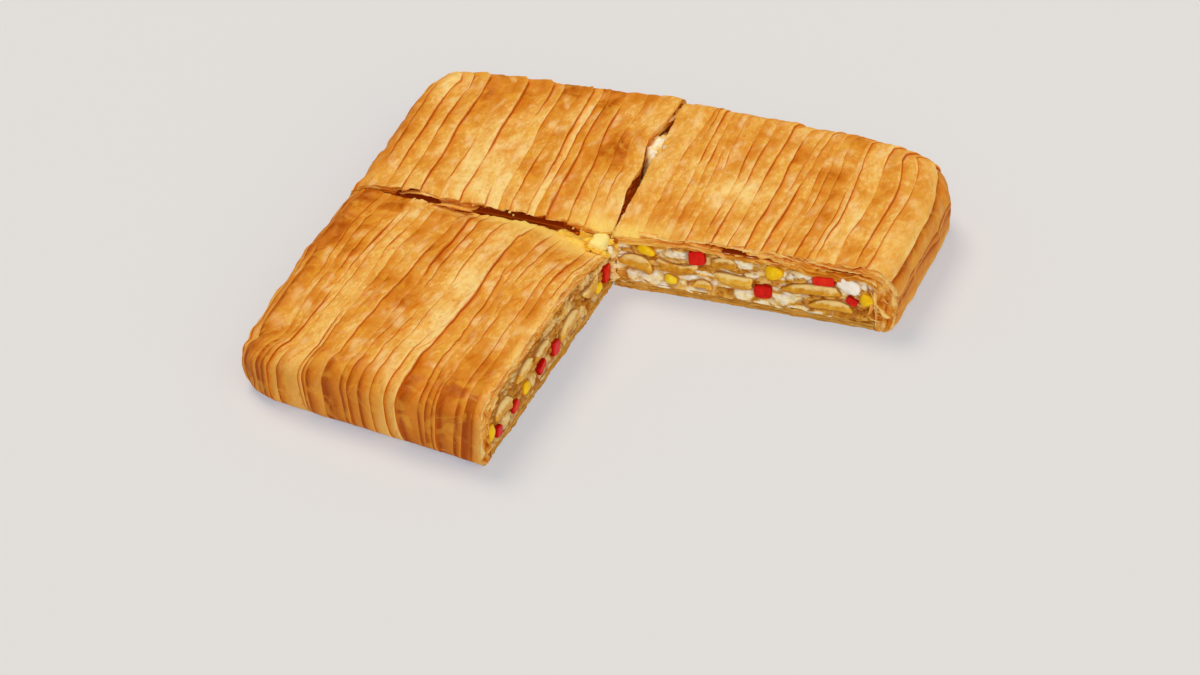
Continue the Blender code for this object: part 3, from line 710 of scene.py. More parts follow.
def pleat_edges(quarter, along):
    """The solids' pleats: where each starts, across the quarter, and how far it rises."""
    draw = random.Random(quarter.seed)
    widths = quarter.pleat_widths
    last = len(widths)
    total = sum(widths)
    turn = draw.random()
    edges = [0.0 * along]
    for pleat in range(1, last):
        turn += draw.uniform(-PLEAT_TURN, PLEAT_TURN)
        wave = PLEAT_WAVE * np.sin(2 * math.pi * (PLEAT_WAVES * along + turn))
        wave = wave + PLEAT_JITTER * noise(8.0 * along, 0.0 * along + 1.7 * pleat, quarter.seed + 3)
        fork = draw.choice(PLEAT_FORKS) * smoothstep(*FORK_SPAN, along)
        room = min(widths[pleat - 1], widths[pleat])
        part = min(1.0, pleat / SLANT_ENDS[0], (last - pleat) / SLANT_ENDS[1])
        slant = quarter.slant * (FLAT_SHARE / 2 - along) * part
        edges.append((sum(widths[:pleat]) - slant + room * (wave + fork)) / total)
    edges.append(np.ones_like(along))
    rises = [draw.uniform(*PLEAT_RISE) for _ in widths]
    return edges, rises


def fold_lines(quarter, along):
    """Folds from left to right: their places across the quarter, and how high they stand."""
    edges, rises = pleat_edges(quarter, along)
    draw = random.Random(quarter.seed + 100)
    lines = []
    for pleat, width in enumerate(quarter.pleat_widths):
        own_line = pleat + 1 if quarter.side_x > 0 else pleat
        swell = quarter.firm + 1.35 * noise(4.2 * along, 0.0 * along + 3.7 * pleat, quarter.seed)
        swell = swell + 0.5 * noise(13.0 * along, 0.0 * along + 3.7 * pleat, quarter.seed + 1)
        swell = np.clip(swell, 0.03, 1.25)
        lines.append((edges[own_line], rises[pleat] * swell))
        if width < FINE_WIDTH or draw.random() > quarter.fine:
            continue
        start = draw.uniform(-0.1, 0.6)
        end = start + draw.uniform(0.25, 0.7)
        share = draw.uniform(0.3, 0.65) + draw.uniform(-0.25, 0.25) * (along - start)
        place = edges[pleat] + (edges[pleat + 1] - edges[pleat]) * np.clip(share, 0.2, 0.8)
        shown = smoothstep(start, start + FINE_END, along)
        shown = shown * (1.0 - smoothstep(end - FINE_END, end, along))
        lines.append((place, rises[pleat] * draw.uniform(*FINE_RISE) * shown))
    b = along / FLAT_SHARE * (quarter.reach_y - OUTER_SKIN.top_radius)
    for number, (place, rise) in enumerate(lines):
        a = place / FLAT_SHARE * (quarter.reach_x - OUTER_SKIN.top_radius)
        lines[number] = (place, rise * np.clip(1.0 - spots(quarter.calm, a, b), 0.0, 1.0))
    bare = np.zeros_like(along)
    foot = (np.ones_like(along), bare)
    if quarter.side_x > 0:
        lines = [line for line in lines if line[0][0] < 1.0]
        lines = [(bare, bare), *lines, foot]
    else:
        lines.append(foot)
    return sorted(lines, key=lambda line: quarter.side_x * line[0].mean())


# %% [markdown]
# Across a strip the surface dips at the crease, climbs slowly and ends in a soft fold, which
# overhangs the next strip by a quarter of a millimetre. The overhang is what makes real creases
# dark: light can't get in. A grid can hold it, as long as its columns may step back sideways.

# %% The profile of one pleat
STEP = 0.58 * MM  # between columns on a strip
CREASE_DEPTH = 0.18 * MM
FOLD_PROFILE = (  # how far over the next strip, in millimetres, and share of the rise
    (0.15, 0.90),
    (0.26, 0.62),
    (0.24, 0.30),
    (0.06, 0.04),
)
TUCK = 0.02  # where the next strip starts under it, in millimetres
FULL_RISE = 1.3 * MM  # a fold this high has the full overhang
LEAST_FOLD = 0.12


def strip_columns(quarter, lines, along):
    """Columns left to right: place, lift, painted shade, painted highlight, tone, strip share."""
    per_metre = quarter.side_x * FLAT_SHARE / (quarter.reach_x - OUTER_SKIN.top_radius)
    columns = []
    overhang = np.zeros_like(along)
    draw = random.Random(quarter.seed + 7)
    for number, (left, right) in enumerate(zip(lines, lines[1:])):
        tone = draw.random()
        start = left[0] + TUCK * MM * overhang * per_metre
        width = float(np.abs(right[0] - start).mean() / abs(per_metre))
        rise = right[1]
        count = max(5, round(width / STEP))
        for step in range(count + 1):
            share = step / count
            climb = 0.25 * share + 0.75 * share**2.4
            pillow = 1.6 * MM * share * (1.0 - share) * min(1.0, width / 0.010)
            # Painted shade under the fold that overhangs the strip's start.
            crease = overhang * math.exp(-share * width / (0.75 * MM))
            lift = rise * climb + pillow - CREASE_DEPTH * overhang * (1.0 - share) ** 6
            # A painted highlight on the strip's own fold.
            ridge = math.exp(-(1.0 - share) * width / (1.1 * MM)) * np.clip(rise / MM, 0, 1.4)
            place = start + (right[0] - start) * share
            columns.append((place, lift, crease, ridge, tone, share))
        if number == len(lines) - 2:
            break
        overhang = np.clip(rise / FULL_RISE, LEAST_FOLD, 1.3)
        for over, height in FOLD_PROFILE:
            place = right[0] + over * MM * overhang * per_metre
            # Painted shade and a painted highlight on the fold's own columns.
            crease = overhang * (1.0 - height) ** 1.5
            columns.append((place, rise * height, crease, overhang * height, tone, 1.0))
    return columns


# %% [markdown]
# The rows run the other way, closer together where the sheet bends over the edge. On the end wall
# the folds would fan in toward the foot, so the columns are spread there until they run straight.

# %% The rows of a sheet
ROWS = {"flat": 168, "edge": 24, "wall": 9, "foot": 7}
PLAIN_ROWS = 8
WALL_STRAIGHT = 0.85  # 0: folds fan in toward the foot, 1: they run straight down


def rows_along():
    """The rows of a fine sheet, from 0 at the cut to 1 at the floor."""
    flat = np.linspace(0.0, FLAT_SHARE, ROWS["flat"] + 1)
    edge = np.linspace(FLAT_SHARE, EDGE_SHARE, ROWS["edge"] + 1)
    wall = np.linspace(EDGE_SHARE, WALL_SHARE, ROWS["wall"] + 1)
    foot = np.linspace(WALL_SHARE, 1.0, ROWS["foot"] + 1)
    return np.concatenate([flat, edge[1:], wall[1:], foot[1:]])


def plain_shares():
    """The few rows of a sheet that nobody sees."""
    flat = np.linspace(0.0, FLAT_SHARE, PLAIN_ROWS + 1)
    return np.concatenate([flat, np.linspace(FLAT_SHARE, EDGE_SHARE, 4)[1:], [WALL_SHARE, 1.0]])


def straightened(across, down):
    """Spread the columns on the end wall, so that the folds run straight down it."""
    grown = 1.0 + WALL_STRAIGHT * (np.maximum(down, FLAT_SHARE) / FLAT_SHARE - 1.0)
    edge = FLAT_SHARE * grown
    outside = edge + (across - FLAT_SHARE) / (1.0 - FLAT_SHARE) * (1.0 - edge)
    return np.where(across < FLAT_SHARE, across * grown, outside)


print("Rows from the cut to the floor:", len(rows_along()), "fine,", len(plain_shares()), "coarse")

# %% [markdown]
# Baking leaves relief on a flat sheet. It swings a little from side to side, it is wrinkled along
# the pleats, and steam raises blisters. Fine creases also slant across the pleats where the sheet
# was pinched. They follow the lines where a noise is zero, except where such a line turns and
# would run straight across the pleats, since a pinch never does.

# %% What baking does to a sheet
def pinches(x, y, seed, slope):
    """Fine slanting creases: how sharp they are, from 0 to 1, and which side stands higher."""

    def level(aside):
        across = (x + aside + slope * y) / 5.0
        coarse = noise(across, (y - slope * x) / 19.0, seed)
        return coarse + 0.35 * noise(2.3 * across, y / 9.0, seed + 1)

    here = level(0.0)
    shown = smoothstep(-0.20, 0.35, noise(x / 15.0, y / 15.0, seed + 2))
    lengthwise = smoothstep(0.08, 0.20, np.abs(level(0.6) - here))  # no creases across the pleats
    crease = (1.0 - smoothstep(0.0, 0.20, np.abs(here))) * shown * lengthwise
    return crease, smoothstep(-0.30, 0.30, here) * shown


def relief(x, y, seed):
    """Fine relief in millimetres at places given in millimetres, with the pleats along y."""
    wrinkles = 0.24 * noise(x / 2.3, y / 14.0, seed) + 0.10 * noise(x / 1.2, y / 8.0, seed + 1)
    where = smoothstep(-0.6, 0.7, noise(x / 19.0, y / 23.0, seed + 3))
    crumple = 0.40 * fractal(x / 4.4, y / 5.0, seed + 2, 2) * where
    small = 0.35 * blisters(x / 2.8, y / 4.0, seed + 4)
    raised = small + 0.55 * blisters(x / 5.0, y / 7.0, seed + 6)
    sway = 0.50 * noise(x / 13.0, y / 19.0, seed + 5) + 0.35 * noise(x / 6.5, y / 8.5, seed + 7)
    return wrinkles + crumple + raised + sway


# %% [markdown]
# How brown a place is follows from where it was in the oven: the edges took more colour, and the
# low, buttery middle less. Painted shade is added to the same number: each strip is darker where
# it starts under its neighbour's fold and paler toward its own, and the walls are darker beside
# each fold. Each strip is also a little darker or paler than its neighbours, since every strip is
# a different part of the sheet.

# %% The pleated skin of a quarter
def browning_and_shade(quarter, x, y, a, b, tone, share, edge):
    """How brown the skin is, with painted shade by the folds: 0 is raw and 1 is brown."""
    streaks = fractal(x / 5.0, y / 42.0, quarter.seed + 50)
    clouds = fractal(x / 13.0, y / 15.0, quarter.seed + 60)
    # Painted shade: a strip is darker where it starts under the next fold and paler at its own.
    baked = 0.47 + (0.36 + 0.15 * edge) * (tone - 0.5) + 0.16 * (0.5 - share) + 0.10 * streaks
    # Painted shade on the walls beside each fold.
    baked = baked + edge * (0.60 * np.exp(-share / 0.25) + 0.04) * quarter.fold_shade
    baked = baked + 0.21 * clouds * (1.0 - 0.7 * edge) + 0.08 * edge + spots(quarter.browned, a, b)
    baked = baked - (0.4 + 1.2 * (1.0 - tone)) * spots(quarter.pale, a, b)
    return np.clip(baked, -0.1, 0.86 + 0.16 * edge)


def pleated_skin(quarter):
    """The top crust's outer skin as arrays, columns by rows, with the marks of its points."""
    along = rows_along()
    columns = strip_columns(quarter, fold_lines(quarter, along), along)
    if quarter.side_x < 0:
        columns = columns[::-1]
    shape = (len(columns), len(along))
    across, lift, crease, ridge, tone, share = (
        np.array([np.broadcast_to(column[part], along.shape) for column in columns])
        for part in range(6)
    )
    down = np.broadcast_to(along, shape)
    x = across * quarter.reach_x / FLAT_SHARE / MM
    y = down * quarter.reach_y / FLAT_SHARE / MM
    swing = quarter.wander * noise(x / 48.0, y / 30.0 + 5.0, quarter.seed + 9)
    swing = swing * smoothstep(0.0, 0.06, across) * (1.0 - smoothstep(0.80, 1.0, across))
    across = np.clip(across + swing * FLAT_SHARE / quarter.reach_x, 0.0, 1.0)
    across = straightened(across, down)
    ring = np.maximum(across, down)
    calm = 1.0 - RISE_LOST * smoothstep(FLAT_SHARE - 0.03, EDGE_SHARE, ring)
    pinch, higher = pinches(x, y, quarter.seed + 30, quarter.pinch_slope)
    pinch = pinch * quarter.pinched
    lift = lift + MM * (0.45 * higher * quarter.pinched - 0.55 * pinch)
    lift = (lift + MM * relief(x, y, quarter.seed + 20)) * calm
    lumps = noise(x / 10.0, y / 10.0, quarter.seed + 25)
    lift = lift + 0.8 * MM * lumps * smoothstep(FLAT_SHARE - 0.05, EDGE_SHARE, ring)
    # The pinched creases get painted shade too.
    crease = np.maximum(crease, 0.75 * pinch)
    flat_a = across * quarter.reach_x
    flat_b = down * quarter.reach_y
    lift = lift + MM * spots(quarter.raised, flat_a / FLAT_SHARE * 0.9, flat_b / FLAT_SHARE * 0.9)
    lift = lift * (1.0 - smoothstep(0.985, 1.0, ring))
    a, b, z = skin_parts(quarter, OUTER_SKIN, across, down, lift)
    torn = 0.30 * MM * fractal(x / 1.9, y / 1.9, quarter.seed + 40)
    a = a - torn * (1.0 - smoothstep(0.0, 1.5 * MM, a))
    b = b - torn * (1.0 - smoothstep(0.0, 1.5 * MM, b))

    edge = smoothstep(FLAT_SHARE - 0.05, EDGE_SHARE, ring)
    values = {
        "baked": browning_and_shade(quarter, x, y, a, b, tone, share, edge),
        "crease": crease,
        "ridge": ridge,
        "butter": np.clip(spots(quarter.buttered, a, b), 0.0, 1.0),
        "flow": np.stack([x / 10.0, y / 10.0, 4.0 * tone], axis=-1),
        "wall": edge,
    }
    return (a, b, z), values, across, down


# %% [markdown]
# The knife shows how the crust is made. Its cut edge is a stack of thin sheets: pale, with a
# painted highlight, where they were pressed together, and dark, with painted shade, where steam
# drove them apart. The large gaps are named one by one, as they can be seen on the pie, and so is
# how far torn sheets hang over the filling. The gaps are painted deep red brown, as shade. Two
# cuts are wide open to the air, and their cut edges get a painted glow. The others face each other
# across a slot: no light reaches far into them, so their depths are painted dark as shade, except
# for the lens of pale sheets in the side cut.

# %% What the knife left
OPEN_CUTS = (("back_right", "cross"), ("front_left", "side"))
GAPS = {  # along the cut, half length, share of the thickness, half height, depth
    ("back_left", "cross"): (
        (0.0480, 0.0250, 0.50, 0.46, 0.0050),
        (0.0270, 0.0080, 0.42, 0.20, 0.0036),
        (0.1010, 0.0120, 0.50, 0.44, 0.0050),
        (0.0800, 0.0110, 0.60, 0.26, 0.0040),
    ),
    ("back_left", "side"): ((0.0300, 0.0200, 0.60, 0.30, 0.0040),),
    ("back_right", "cross"): (
        (0.0525, 0.0105, 0.36, 0.16, 0.0050),
        (0.0620, 0.0110, 0.60, 0.20, 0.0060),
        (0.0820, 0.0070, 0.66, 0.13, 0.0035),
        (0.0880, 0.0075, 0.40, 0.13, 0.0038),
        (0.1080, 0.0190, 0.30, 0.10, 0.0030),
        (0.1150, 0.0150, 0.66, 0.12, 0.0030),
        (0.0300, 0.0110, 0.60, 0.16, 0.0026),
    ),
    ("front_left", "side"): (
        (0.0620, 0.0120, 0.52, 0.18, 0.0034),
        (0.1020, 0.0130, 0.48, 0.22, 0.0036),
        (0.1330, 0.0090, 0.55, 0.18, 0.0030),
    ),
}
HANGS = {  # along the cut, spread, how far the torn sheets hang over the filling
    ("back_left", "cross"): ((0.060, 0.060, 0.0042),),
    ("back_right", "cross"): ((0.062, 0.022, 0.0026), (0.108, 0.026, 0.0042)),
    ("front_left", "side"): ((0.095, 0.045, 0.0014),),
}
LENS_MIDDLE, LENS_SPREAD, LENS_END = 98.0, 16.0, 119.0  # millimetres along the side cut
BROWNED_BAND = (108.0, 18.0)  # where the back right crust's cut edge took more colour

# %% [markdown]
# A band of points runs from the skin's edge to the lining's. Each point is pushed in or out of the
# cut: sheets stand out, gaps go in. Around the rounded end of a cut the sheets turn down and are
# crumpled instead of parted.

# %% The cut edges of the top crust
BAND_ROWS = 26
SHEETS = 3.2


def cut_place(quarter, cut, along, depth, z, recess=0.0):
    """A place in the room, from the distance along a cut, the depth behind it and the height."""
    a, b = (depth, along) if cut == "side" else (along, depth)
    return lay_out(quarter, a, b, z, recess)


def torn_hang(quarter, cut, along):
    """How far the crust's inner edge hangs below its lining."""
    hang = 0.0 * along
    for middle, spread, most in HANGS.get((quarter.name, cut), ()):
        hang = hang + most * bump(along, middle, spread)
    return hang * (1.0 + 0.35 * noise(along / MM / 4.0, 0.0 * hang, quarter.seed + 90))


def gap_depth(quarter, cut, along, v, seed):
    """How deep the named gaps are, in millimetres, at a share v of the crust's thickness."""
    x = along / MM
    gap = 0.0 * along
    for middle, half, height, thick, deep in GAPS.get((quarter.name, cut), ()):
        wave = 0.10 * noise(x / 7.0, 0.0 * x + middle / MM, seed)
        reach = ((along - middle) / half) ** 2 + ((v - height - wave) / thick) ** 2
        gap = np.maximum(gap, deep / MM * (1.0 - smoothstep(0.55, 1.15, reach)))
    return gap


def sheet_stack(x, v, z, turned, seed):
    """The sheets at a cut: each point's sheet, how near a parting it is, and how deep it lies."""
    place = SHEETS * v * (1.0 + 0.5 * turned)
    place = place + 0.55 * noise(x / 13.0, v * 2.0 + z / MM / 12.0, seed)
    place = place + 0.22 * noise(x / 3.1, v * 5.0 + z / MM / 4.0, seed + 1)
    between = np.abs(place % 1.0 - 0.5) * 2.0
    parted = smoothstep(-0.5, 0.6, noise(x / 8.0, np.floor(place) * 3.3, seed + 2))
    depth = (0.35 + 1.5 * parted) * smoothstep(0.50, 0.95, between) * (1.0 - 0.7 * turned)
    depth = depth + 0.7 * noise(x / 3.4, np.floor(place) * 2.7, seed + 3) * v**0.3
    depth = depth + 0.5 * v + turned * 0.6 * noise(x / 2.2, z / MM / 1.6, seed + 4)
    depth = depth + turned * 2.4 * fractal(x / 4.0 + 3.0, z / MM / 4.0, seed + 7)
    return np.floor(place), between, parted, depth


def cut_band(sheet, quarter, cut, numbers, edge_along, edge_z, shares):
    """Sheets and gaps between the skin's cut edge and the lining's. Returns its inner row."""
    nothing = 0.0 * shares
    across, down = (nothing, shares) if cut == "side" else (shares, nothing)
    a, b, inner_z = skin_parts(quarter, LINING, across, down)
    inner_along = b if cut == "side" else a
    inner_z = np.maximum(inner_z - torn_hang(quarter, cut, inner_along), 0.0)
    v = np.linspace(0.0, 1.0, BAND_ROWS + 1)[1:, None]
    along = edge_along + (inner_along - edge_along) * v
    z = edge_z + (inner_z - edge_z) * v
    seed = quarter.seed + (70 if cut == "side" else 80)
    x = along / MM
    turned = smoothstep(FLAT_SHARE, EDGE_SHARE, shares)
    number, between, parted, depth = sheet_stack(x, v, z, turned, seed)
    gap = gap_depth(quarter, cut, along, v, seed + 5)
    depth = (depth + gap) * smoothstep(0.0, 0.10, v) * (1.0 - 0.8 * smoothstep(0.90, 1.0, v))
    fade = smoothstep(0.0, 1.0, x) * (1.0 - smoothstep(0.985, 1.0, shares))
    depth = depth * fade * MM
    behind = np.maximum(depth, 0.0)
    if cut == "side":
        z = z + sag(quarter, 0.0 * along, along) - sag(quarter, behind, along)
    else:
        z = z + sag(quarter, along, 0.0 * along) - sag(quarter, along, behind)
    points = cut_place(quarter, cut, along, depth, np.clip(z, 0.0, CRUST_CEILING))

    seen = (quarter.name, cut) in OPEN_CUTS
    pale_lens = quarter is BACK_LEFT and cut == "side"
    lens = bump(x, LENS_MIDDLE, LENS_SPREAD) if pale_lens else 0.0 * x
    # Painted shade at the partings between sheets, and deep red brown painted shade in the gaps.
    crease = 0.75 * smoothstep(0.45, 1.0, between) * parted * (1.0 - 0.8 * turned)
    crease = crease + np.clip(gap / 1.8, 0.0, 2.0)
    # A closed cut's depths get painted shade, except in the pale lens; its far end is darker.
    if not seen:
        crease = crease + 1.8 * smoothstep(0.20, 0.55, v) * (1.0 - turned) * (1.0 - 0.9 * lens)
        crease = crease + 1.3 * bump(x, LENS_END, 4.0) * lens**0.2 * smoothstep(0.1, 0.4, v)
    # A closed cut's band is also painted darker, as shade.
    baked = (0.24 if seen else 0.64) + 0.24 * v + 0.30 * noise(x / 6.0, number, seed + 6)
    if quarter.side_x > 0:
        baked = baked + 0.34 * bump(x, *BROWNED_BAND) * (1.0 - turned)
    baked = baked - 0.5 * (1.0 - smoothstep(0.0, 0.14, v)) - 0.45 * lens
    baked = baked + turned * (0.08 + 0.5 * noise(x / 3.2 + 4.0, z / MM / 3.2, seed + 8))
    a, b = (0.0 * x, along) if cut == "side" else (along, 0.0 * x)
    first = sheet.loose(
        points,
        baked=baked,
        crease=crease,
        # a painted highlight on each sheet, away from the partings
        ridge=0.5 * (1.0 - between),
        butter=0.7 * np.clip(spots(quarter.buttered, a, b), 0, 1),
        # a painted glow, strong on the open cuts and in the lens, faint in the closed cuts
        seep=((0.40 if seen else 0.05) + 0.30 * lens) * (1.0 - turned),
        flow=np.stack([x / 10.0, 0.0 * x + z / MM / 3.0, 0.0 * x + number], axis=-1),
    )
    inner = first + np.arange(points[..., 0].size).reshape(points.shape[:2])
    sheet.join(np.vstack([numbers[None, :], inner]))
    return inner[-1]


# %% [markdown]
# A crust is its skin, a band at each of its two cuts, and a coarse lining that nobody sees, all
# sewn together into one closed shell.

# %% The shell of the top crust
def foot_ring(numbers):
    """The points along a sheet's foot, from one cut to the other."""
    return list(numbers[-1, :]) + list(numbers[-2::-1, -1])


def foot_places(across, along):
    return list(along) + [2.0 - share for share in across[-2::-1]]


def make_crust(quarter, material):
    """A quarter's top crust, in place of its solid."""
    sheet = Sheet()
    (a, b, z), values, across, down = pleated_skin(quarter)
    outer = sheet.grid(lay_out(quarter, a, b, z), **values)
    side = cut_band(sheet, quarter, "side", outer[0, :], b[0, :], z[0, :], down[0, :])
    cross = cut_band(sheet, quarter, "cross", outer[:, 0], a[:, 0], z[:, 0], across[:, 0])
    shares = plain_shares()
    inner_across, inner_down = np.meshgrid(shares, shares, indexing="ij")
    lining = skin(quarter, LINING, inner_across, inner_down)
    # The lining is painted dark red brown, as shade, where it shows through the gaps.
    inner = sheet.grid(lining, baked=0.9, crease=2.0)
    sheet.zip_up(side, down[0, :], inner[0, :], shares)
    sheet.zip_up(cross, across[:, 0], inner[:, 0], shares)
    outer_places = foot_places(across[:, -1], down[-1, :])
    sheet.zip_up(foot_ring(outer), outer_places, foot_ring(inner), foot_places(shares, shares))
    node = f"{quarter.name}_crust_top"
    return sheet.finish(f"{quarter.name}_pleated_crust", material, "crust", [node])


# %% [markdown]
# Baked phyllo runs from the cream of raw dough through gold to red brown. One ramp holds that
# walk, and one number drives it: how baked a place is, with painted shade added beside the folds
# and in the closed cuts. Streaks along the pleats and small patches stir the number. Over it lie
# rosy, golden and creamy clouds and fine flecks, the palest of which are also painted glints on
# the blisters. Painted shade darkens the creases, a painted highlight lightens the folds, and
# butter turns it yellow and makes it shine. Dry pastry hardly shines: a white sheen would turn it
# grey. Phyllo is so thin that light seeps through it, so its gaps are never black: they are
# painted a deep red brown, as shade. Some of the seeping light is subsurface scattering, and a
# faint painted glow in the creases, at the cut edges and in the gaps stands in for what comes
# through a whole stack of sheets.

# %% The crust's finish
BAKED_RAMP = (
    (0.00, shade(252, 211, 130)),
    (0.22, shade(243, 185, 92)),
    (0.50, shade(229, 153, 56)),
    (0.75, shade(214, 125, 31)),
    (1.00, shade(168, 72, 5)),
)


def golden_pastry():
    finish = Finish("golden_pastry", Specular_IOR_Level=0.0, Coat_Roughness=0.35)
    finish.set(Subsurface_Weight=0.22, Subsurface_Radius=(1.0, 0.45, 0.12))
    finish.set(Subsurface_Scale=2.0 * MM)
    flow = finish.mark("flow", 1)
    streaks = finish.speckle(finish.stretch(flow, (4.0, 0.8, 1.0)), 1.0, 4.0, 0.6)
    patches = finish.speckle(finish.stretch(flow, (1.0, 0.55, 1.0)), 1.0, 1.5, 0.5, 0.3)
    patches = finish.remap(patches, 0.32, 0.68)
    mottle = finish.speckle(finish.stretch(flow, (1.0, 0.5, 1.0)), 1.8, 1.0, 0.5, 0.3)
    spotted = finish.remap(mottle, 0.36, 0.64)
    grain = finish.speckle(finish.stretch(flow, (9.0, 5.0, 1.0)), 2.0, 3.0, 0.7)
    baked = finish.mark("baked")
    crease = finish.mark("crease").held()
    # The deepest marks are the gaps and the closed cuts, painted deep red brown as shade.
    deep = finish.remap(finish.mark("crease"), 1.0, 1.8)
    ridge = finish.mark("ridge").held()
    butter = finish.mark("butter").held()
    open_top = 1.0 - finish.mark("wall").held() * 0.75
    stirred = (streaks - 0.5) * 0.18 + (patches - 0.5) * 0.18 + (spotted - 0.5) * 0.10
    brown = baked + stirred * open_top + (grain - 0.5) * 0.06
    # Painted shade in the creases, and a painted highlight on the folds.
    colour = finish.ramp(brown + crease * 0.12 - ridge * 0.16, *BAKED_RAMP)
    rosy = finish.remap(finish.speckle(flow, 1.1, 2.0), 0.50, 0.66)
    colour = finish.mix(rosy * open_top * 0.26, colour, shade(236, 150, 70))
    golden = finish.remap(finish.speckle(flow, 0.8, 2.0, 0.6, 1.0), 0.50, 0.66)
    colour = finish.mix(golden * 0.40, colour, shade(240, 172, 56))
    creamy = finish.speckle(finish.stretch(flow, (1.0, 0.5, 1.0)), 1.2, 1.0)
    creamy = finish.remap(creamy, 0.52, 0.76) * finish.remap(brown, 0.90, 0.50)
    colour = finish.mix(creamy * open_top * 0.55, colour, shade(254, 214, 148))
    flecks = finish.speckle(finish.stretch(flow, (1.2, 0.6, 1.0)), 4.2, 2.0, 0.5, 0.6)
    # The palest flecks are partly pale blisters and partly painted glints on them.
    pale_flecks_and_glints = finish.remap(flecks, 0.55, 0.62) * finish.remap(brown, 0.72, 0.40)
    colour = finish.mix(pale_flecks_and_glints * open_top * 0.40, colour, shade(254, 212, 128))
    toasted_flecks = finish.remap(flecks, 0.45, 0.38)
    colour = finish.mix(toasted_flecks * open_top * 0.24, colour, shade(212, 122, 34))
    # Painted shade in the creases.
    colour = finish.mix(crease * 0.85, colour, shade(222, 112, 14))
    colour = finish.mix(butter * 0.80, colour, shade(255, 212, 104))
    orange = finish.remap(finish.speckle(flow, 3.0, 2.0), 0.46, 0.64)
    # Painted shade in the gaps and the closed cuts, deep red brown.
    colour = finish.mix(deep, colour, finish.mix(orange, shade(116, 30, 2), shade(176, 82, 12)))
    finish.set(Base_Color=colour)
    # A painted glow in the creases, on the cut edges and in the gaps.
    glow_colour = finish.mix(crease * 0.25, shade(0, 0, 0), shade(112, 58, 8))
    glow_colour = finish.mix(finish.mark("seep").held(), glow_colour, shade(120, 84, 22))
    inside = finish.mix(orange, shade(66, 15, 1), shade(112, 46, 6))
    finish.set(Emission_Color=finish.mix(deep, glow_colour, inside), Emission_Strength=1.0)
    finish.set(Roughness=0.50 - open_top * 0.12 + (grain - 0.5) * 0.2 - butter * 0.10)
    finish.set(Coat_Weight=butter * 0.15 + finish.mark("wall").held() * 0.20)
    finish.bumps(grain * 0.15 + streaks * 0.25 + mottle + flecks * 0.9, 1.0 * MM, 0.6)
    return finish.material


PASTRY = golden_pastry()
for quarter in QUARTERS:
    make_crust(quarter, PASTRY)

# %% [markdown]
# The knife opened the filling: a white sauce thick enough to stand, packed with mushrooms, diced
# sweet pepper and sweetcorn. The pieces lie where they can be seen on the pie, each with its kind,
# its distance from the crossing of the cuts, the height of its middle, its length along the cut,
# its thickness, its bend and its tilt in degrees. Lumps of sauce stand out between them.

# %% What lies in the filling
BACK_RIGHT_PIECES = (
    ("mushroom", 0.0112, 0.0142, 0.0170, 0.0072, 0.0010, 14),
    ("mushroom", 0.0322, 0.0160, 0.0195, 0.0052, -0.0016, 2),
    ("mushroom", 0.0610, 0.0140, 0.0200, 0.0062, -0.0008, 7),
    ("mushroom", 0.0985, 0.0158, 0.0270, 0.0056, 0.0004, -7),
    ("mushroom", 0.0450, 0.0082, 0.0090, 0.0042, 0.0004, 0),
    ("mushroom", 0.1085, 0.0087, 0.0205, 0.0050, 0.0008, -4),
    ("mushroom", 0.0555, 0.0221, 0.0130, 0.0054, 0.0006, -4),
    ("pepper", 0.0422, 0.0230, 0.0082, 0.0074, 0.0, -8),
    ("pepper", 0.0752, 0.0105, 0.0084, 0.0068, 0.0, -4),
    ("pepper", 0.1050, 0.0222, 0.0110, 0.0048, 0.0, -4),
    ("pepper", 0.1190, 0.0135, 0.0056, 0.0036, 0.0, 25),
    ("sweetcorn", 0.0165, 0.0222, 0.0090, 0.0050, 0.0, 24),
    ("sweetcorn", 0.0805, 0.0216, 0.0086, 0.0074, 0.0, 0),
    ("sweetcorn", 0.0290, 0.0081, 0.0066, 0.0052, 0.0, 10),
    ("sweetcorn", 0.1262, 0.0150, 0.0066, 0.0066, 0.0, 0),
    ("cheese", 0.1172, 0.0214, 0.0110, 0.0072, 0.0, 24),
)
FRONT_LEFT_PIECES = (
    ("mushroom", 0.1330, 0.0150, 0.0180, 0.0075, 0.0010, 6),
    ("mushroom", 0.1080, 0.0195, 0.0180, 0.0052, 0.0008, -6),
    ("mushroom", 0.0870, 0.0172, 0.0170, 0.0052, 0.0010, 8),
    ("mushroom", 0.0540, 0.0105, 0.0230, 0.0075, 0.0012, -4),
    ("mushroom", 0.0260, 0.0140, 0.0190, 0.0056, -0.0012, 5),
    ("pepper", 0.1402, 0.0078, 0.0060, 0.0050, 0.0, 10),
    ("pepper", 0.1210, 0.0085, 0.0070, 0.0040, 0.0, -20),
    ("pepper", 0.0890, 0.0095, 0.0080, 0.0040, 0.0, -20),
    ("pepper", 0.0715, 0.0090, 0.0080, 0.0070, 0.0, 10),
    ("pepper", 0.0055, 0.0105, 0.0068, 0.0088, 0.0, 0),
    ("sweetcorn", 0.1060, 0.0090, 0.0076, 0.0058, 0.0, 5),
    ("sweetcorn", 0.0150, 0.0078, 0.0076, 0.0050, 0.0, 0),
    ("sweetcorn", 0.1469, 0.0112, 0.0060, 0.0084, 0.0, 0),
)
BACK_LEFT_PIECES = (
    ("mushroom", 0.0760, 0.0190, 0.0200, 0.0062, 0.0012, 5),
    ("cheese", 0.0940, 0.0215, 0.0110, 0.0070, 0.0, 0),
)
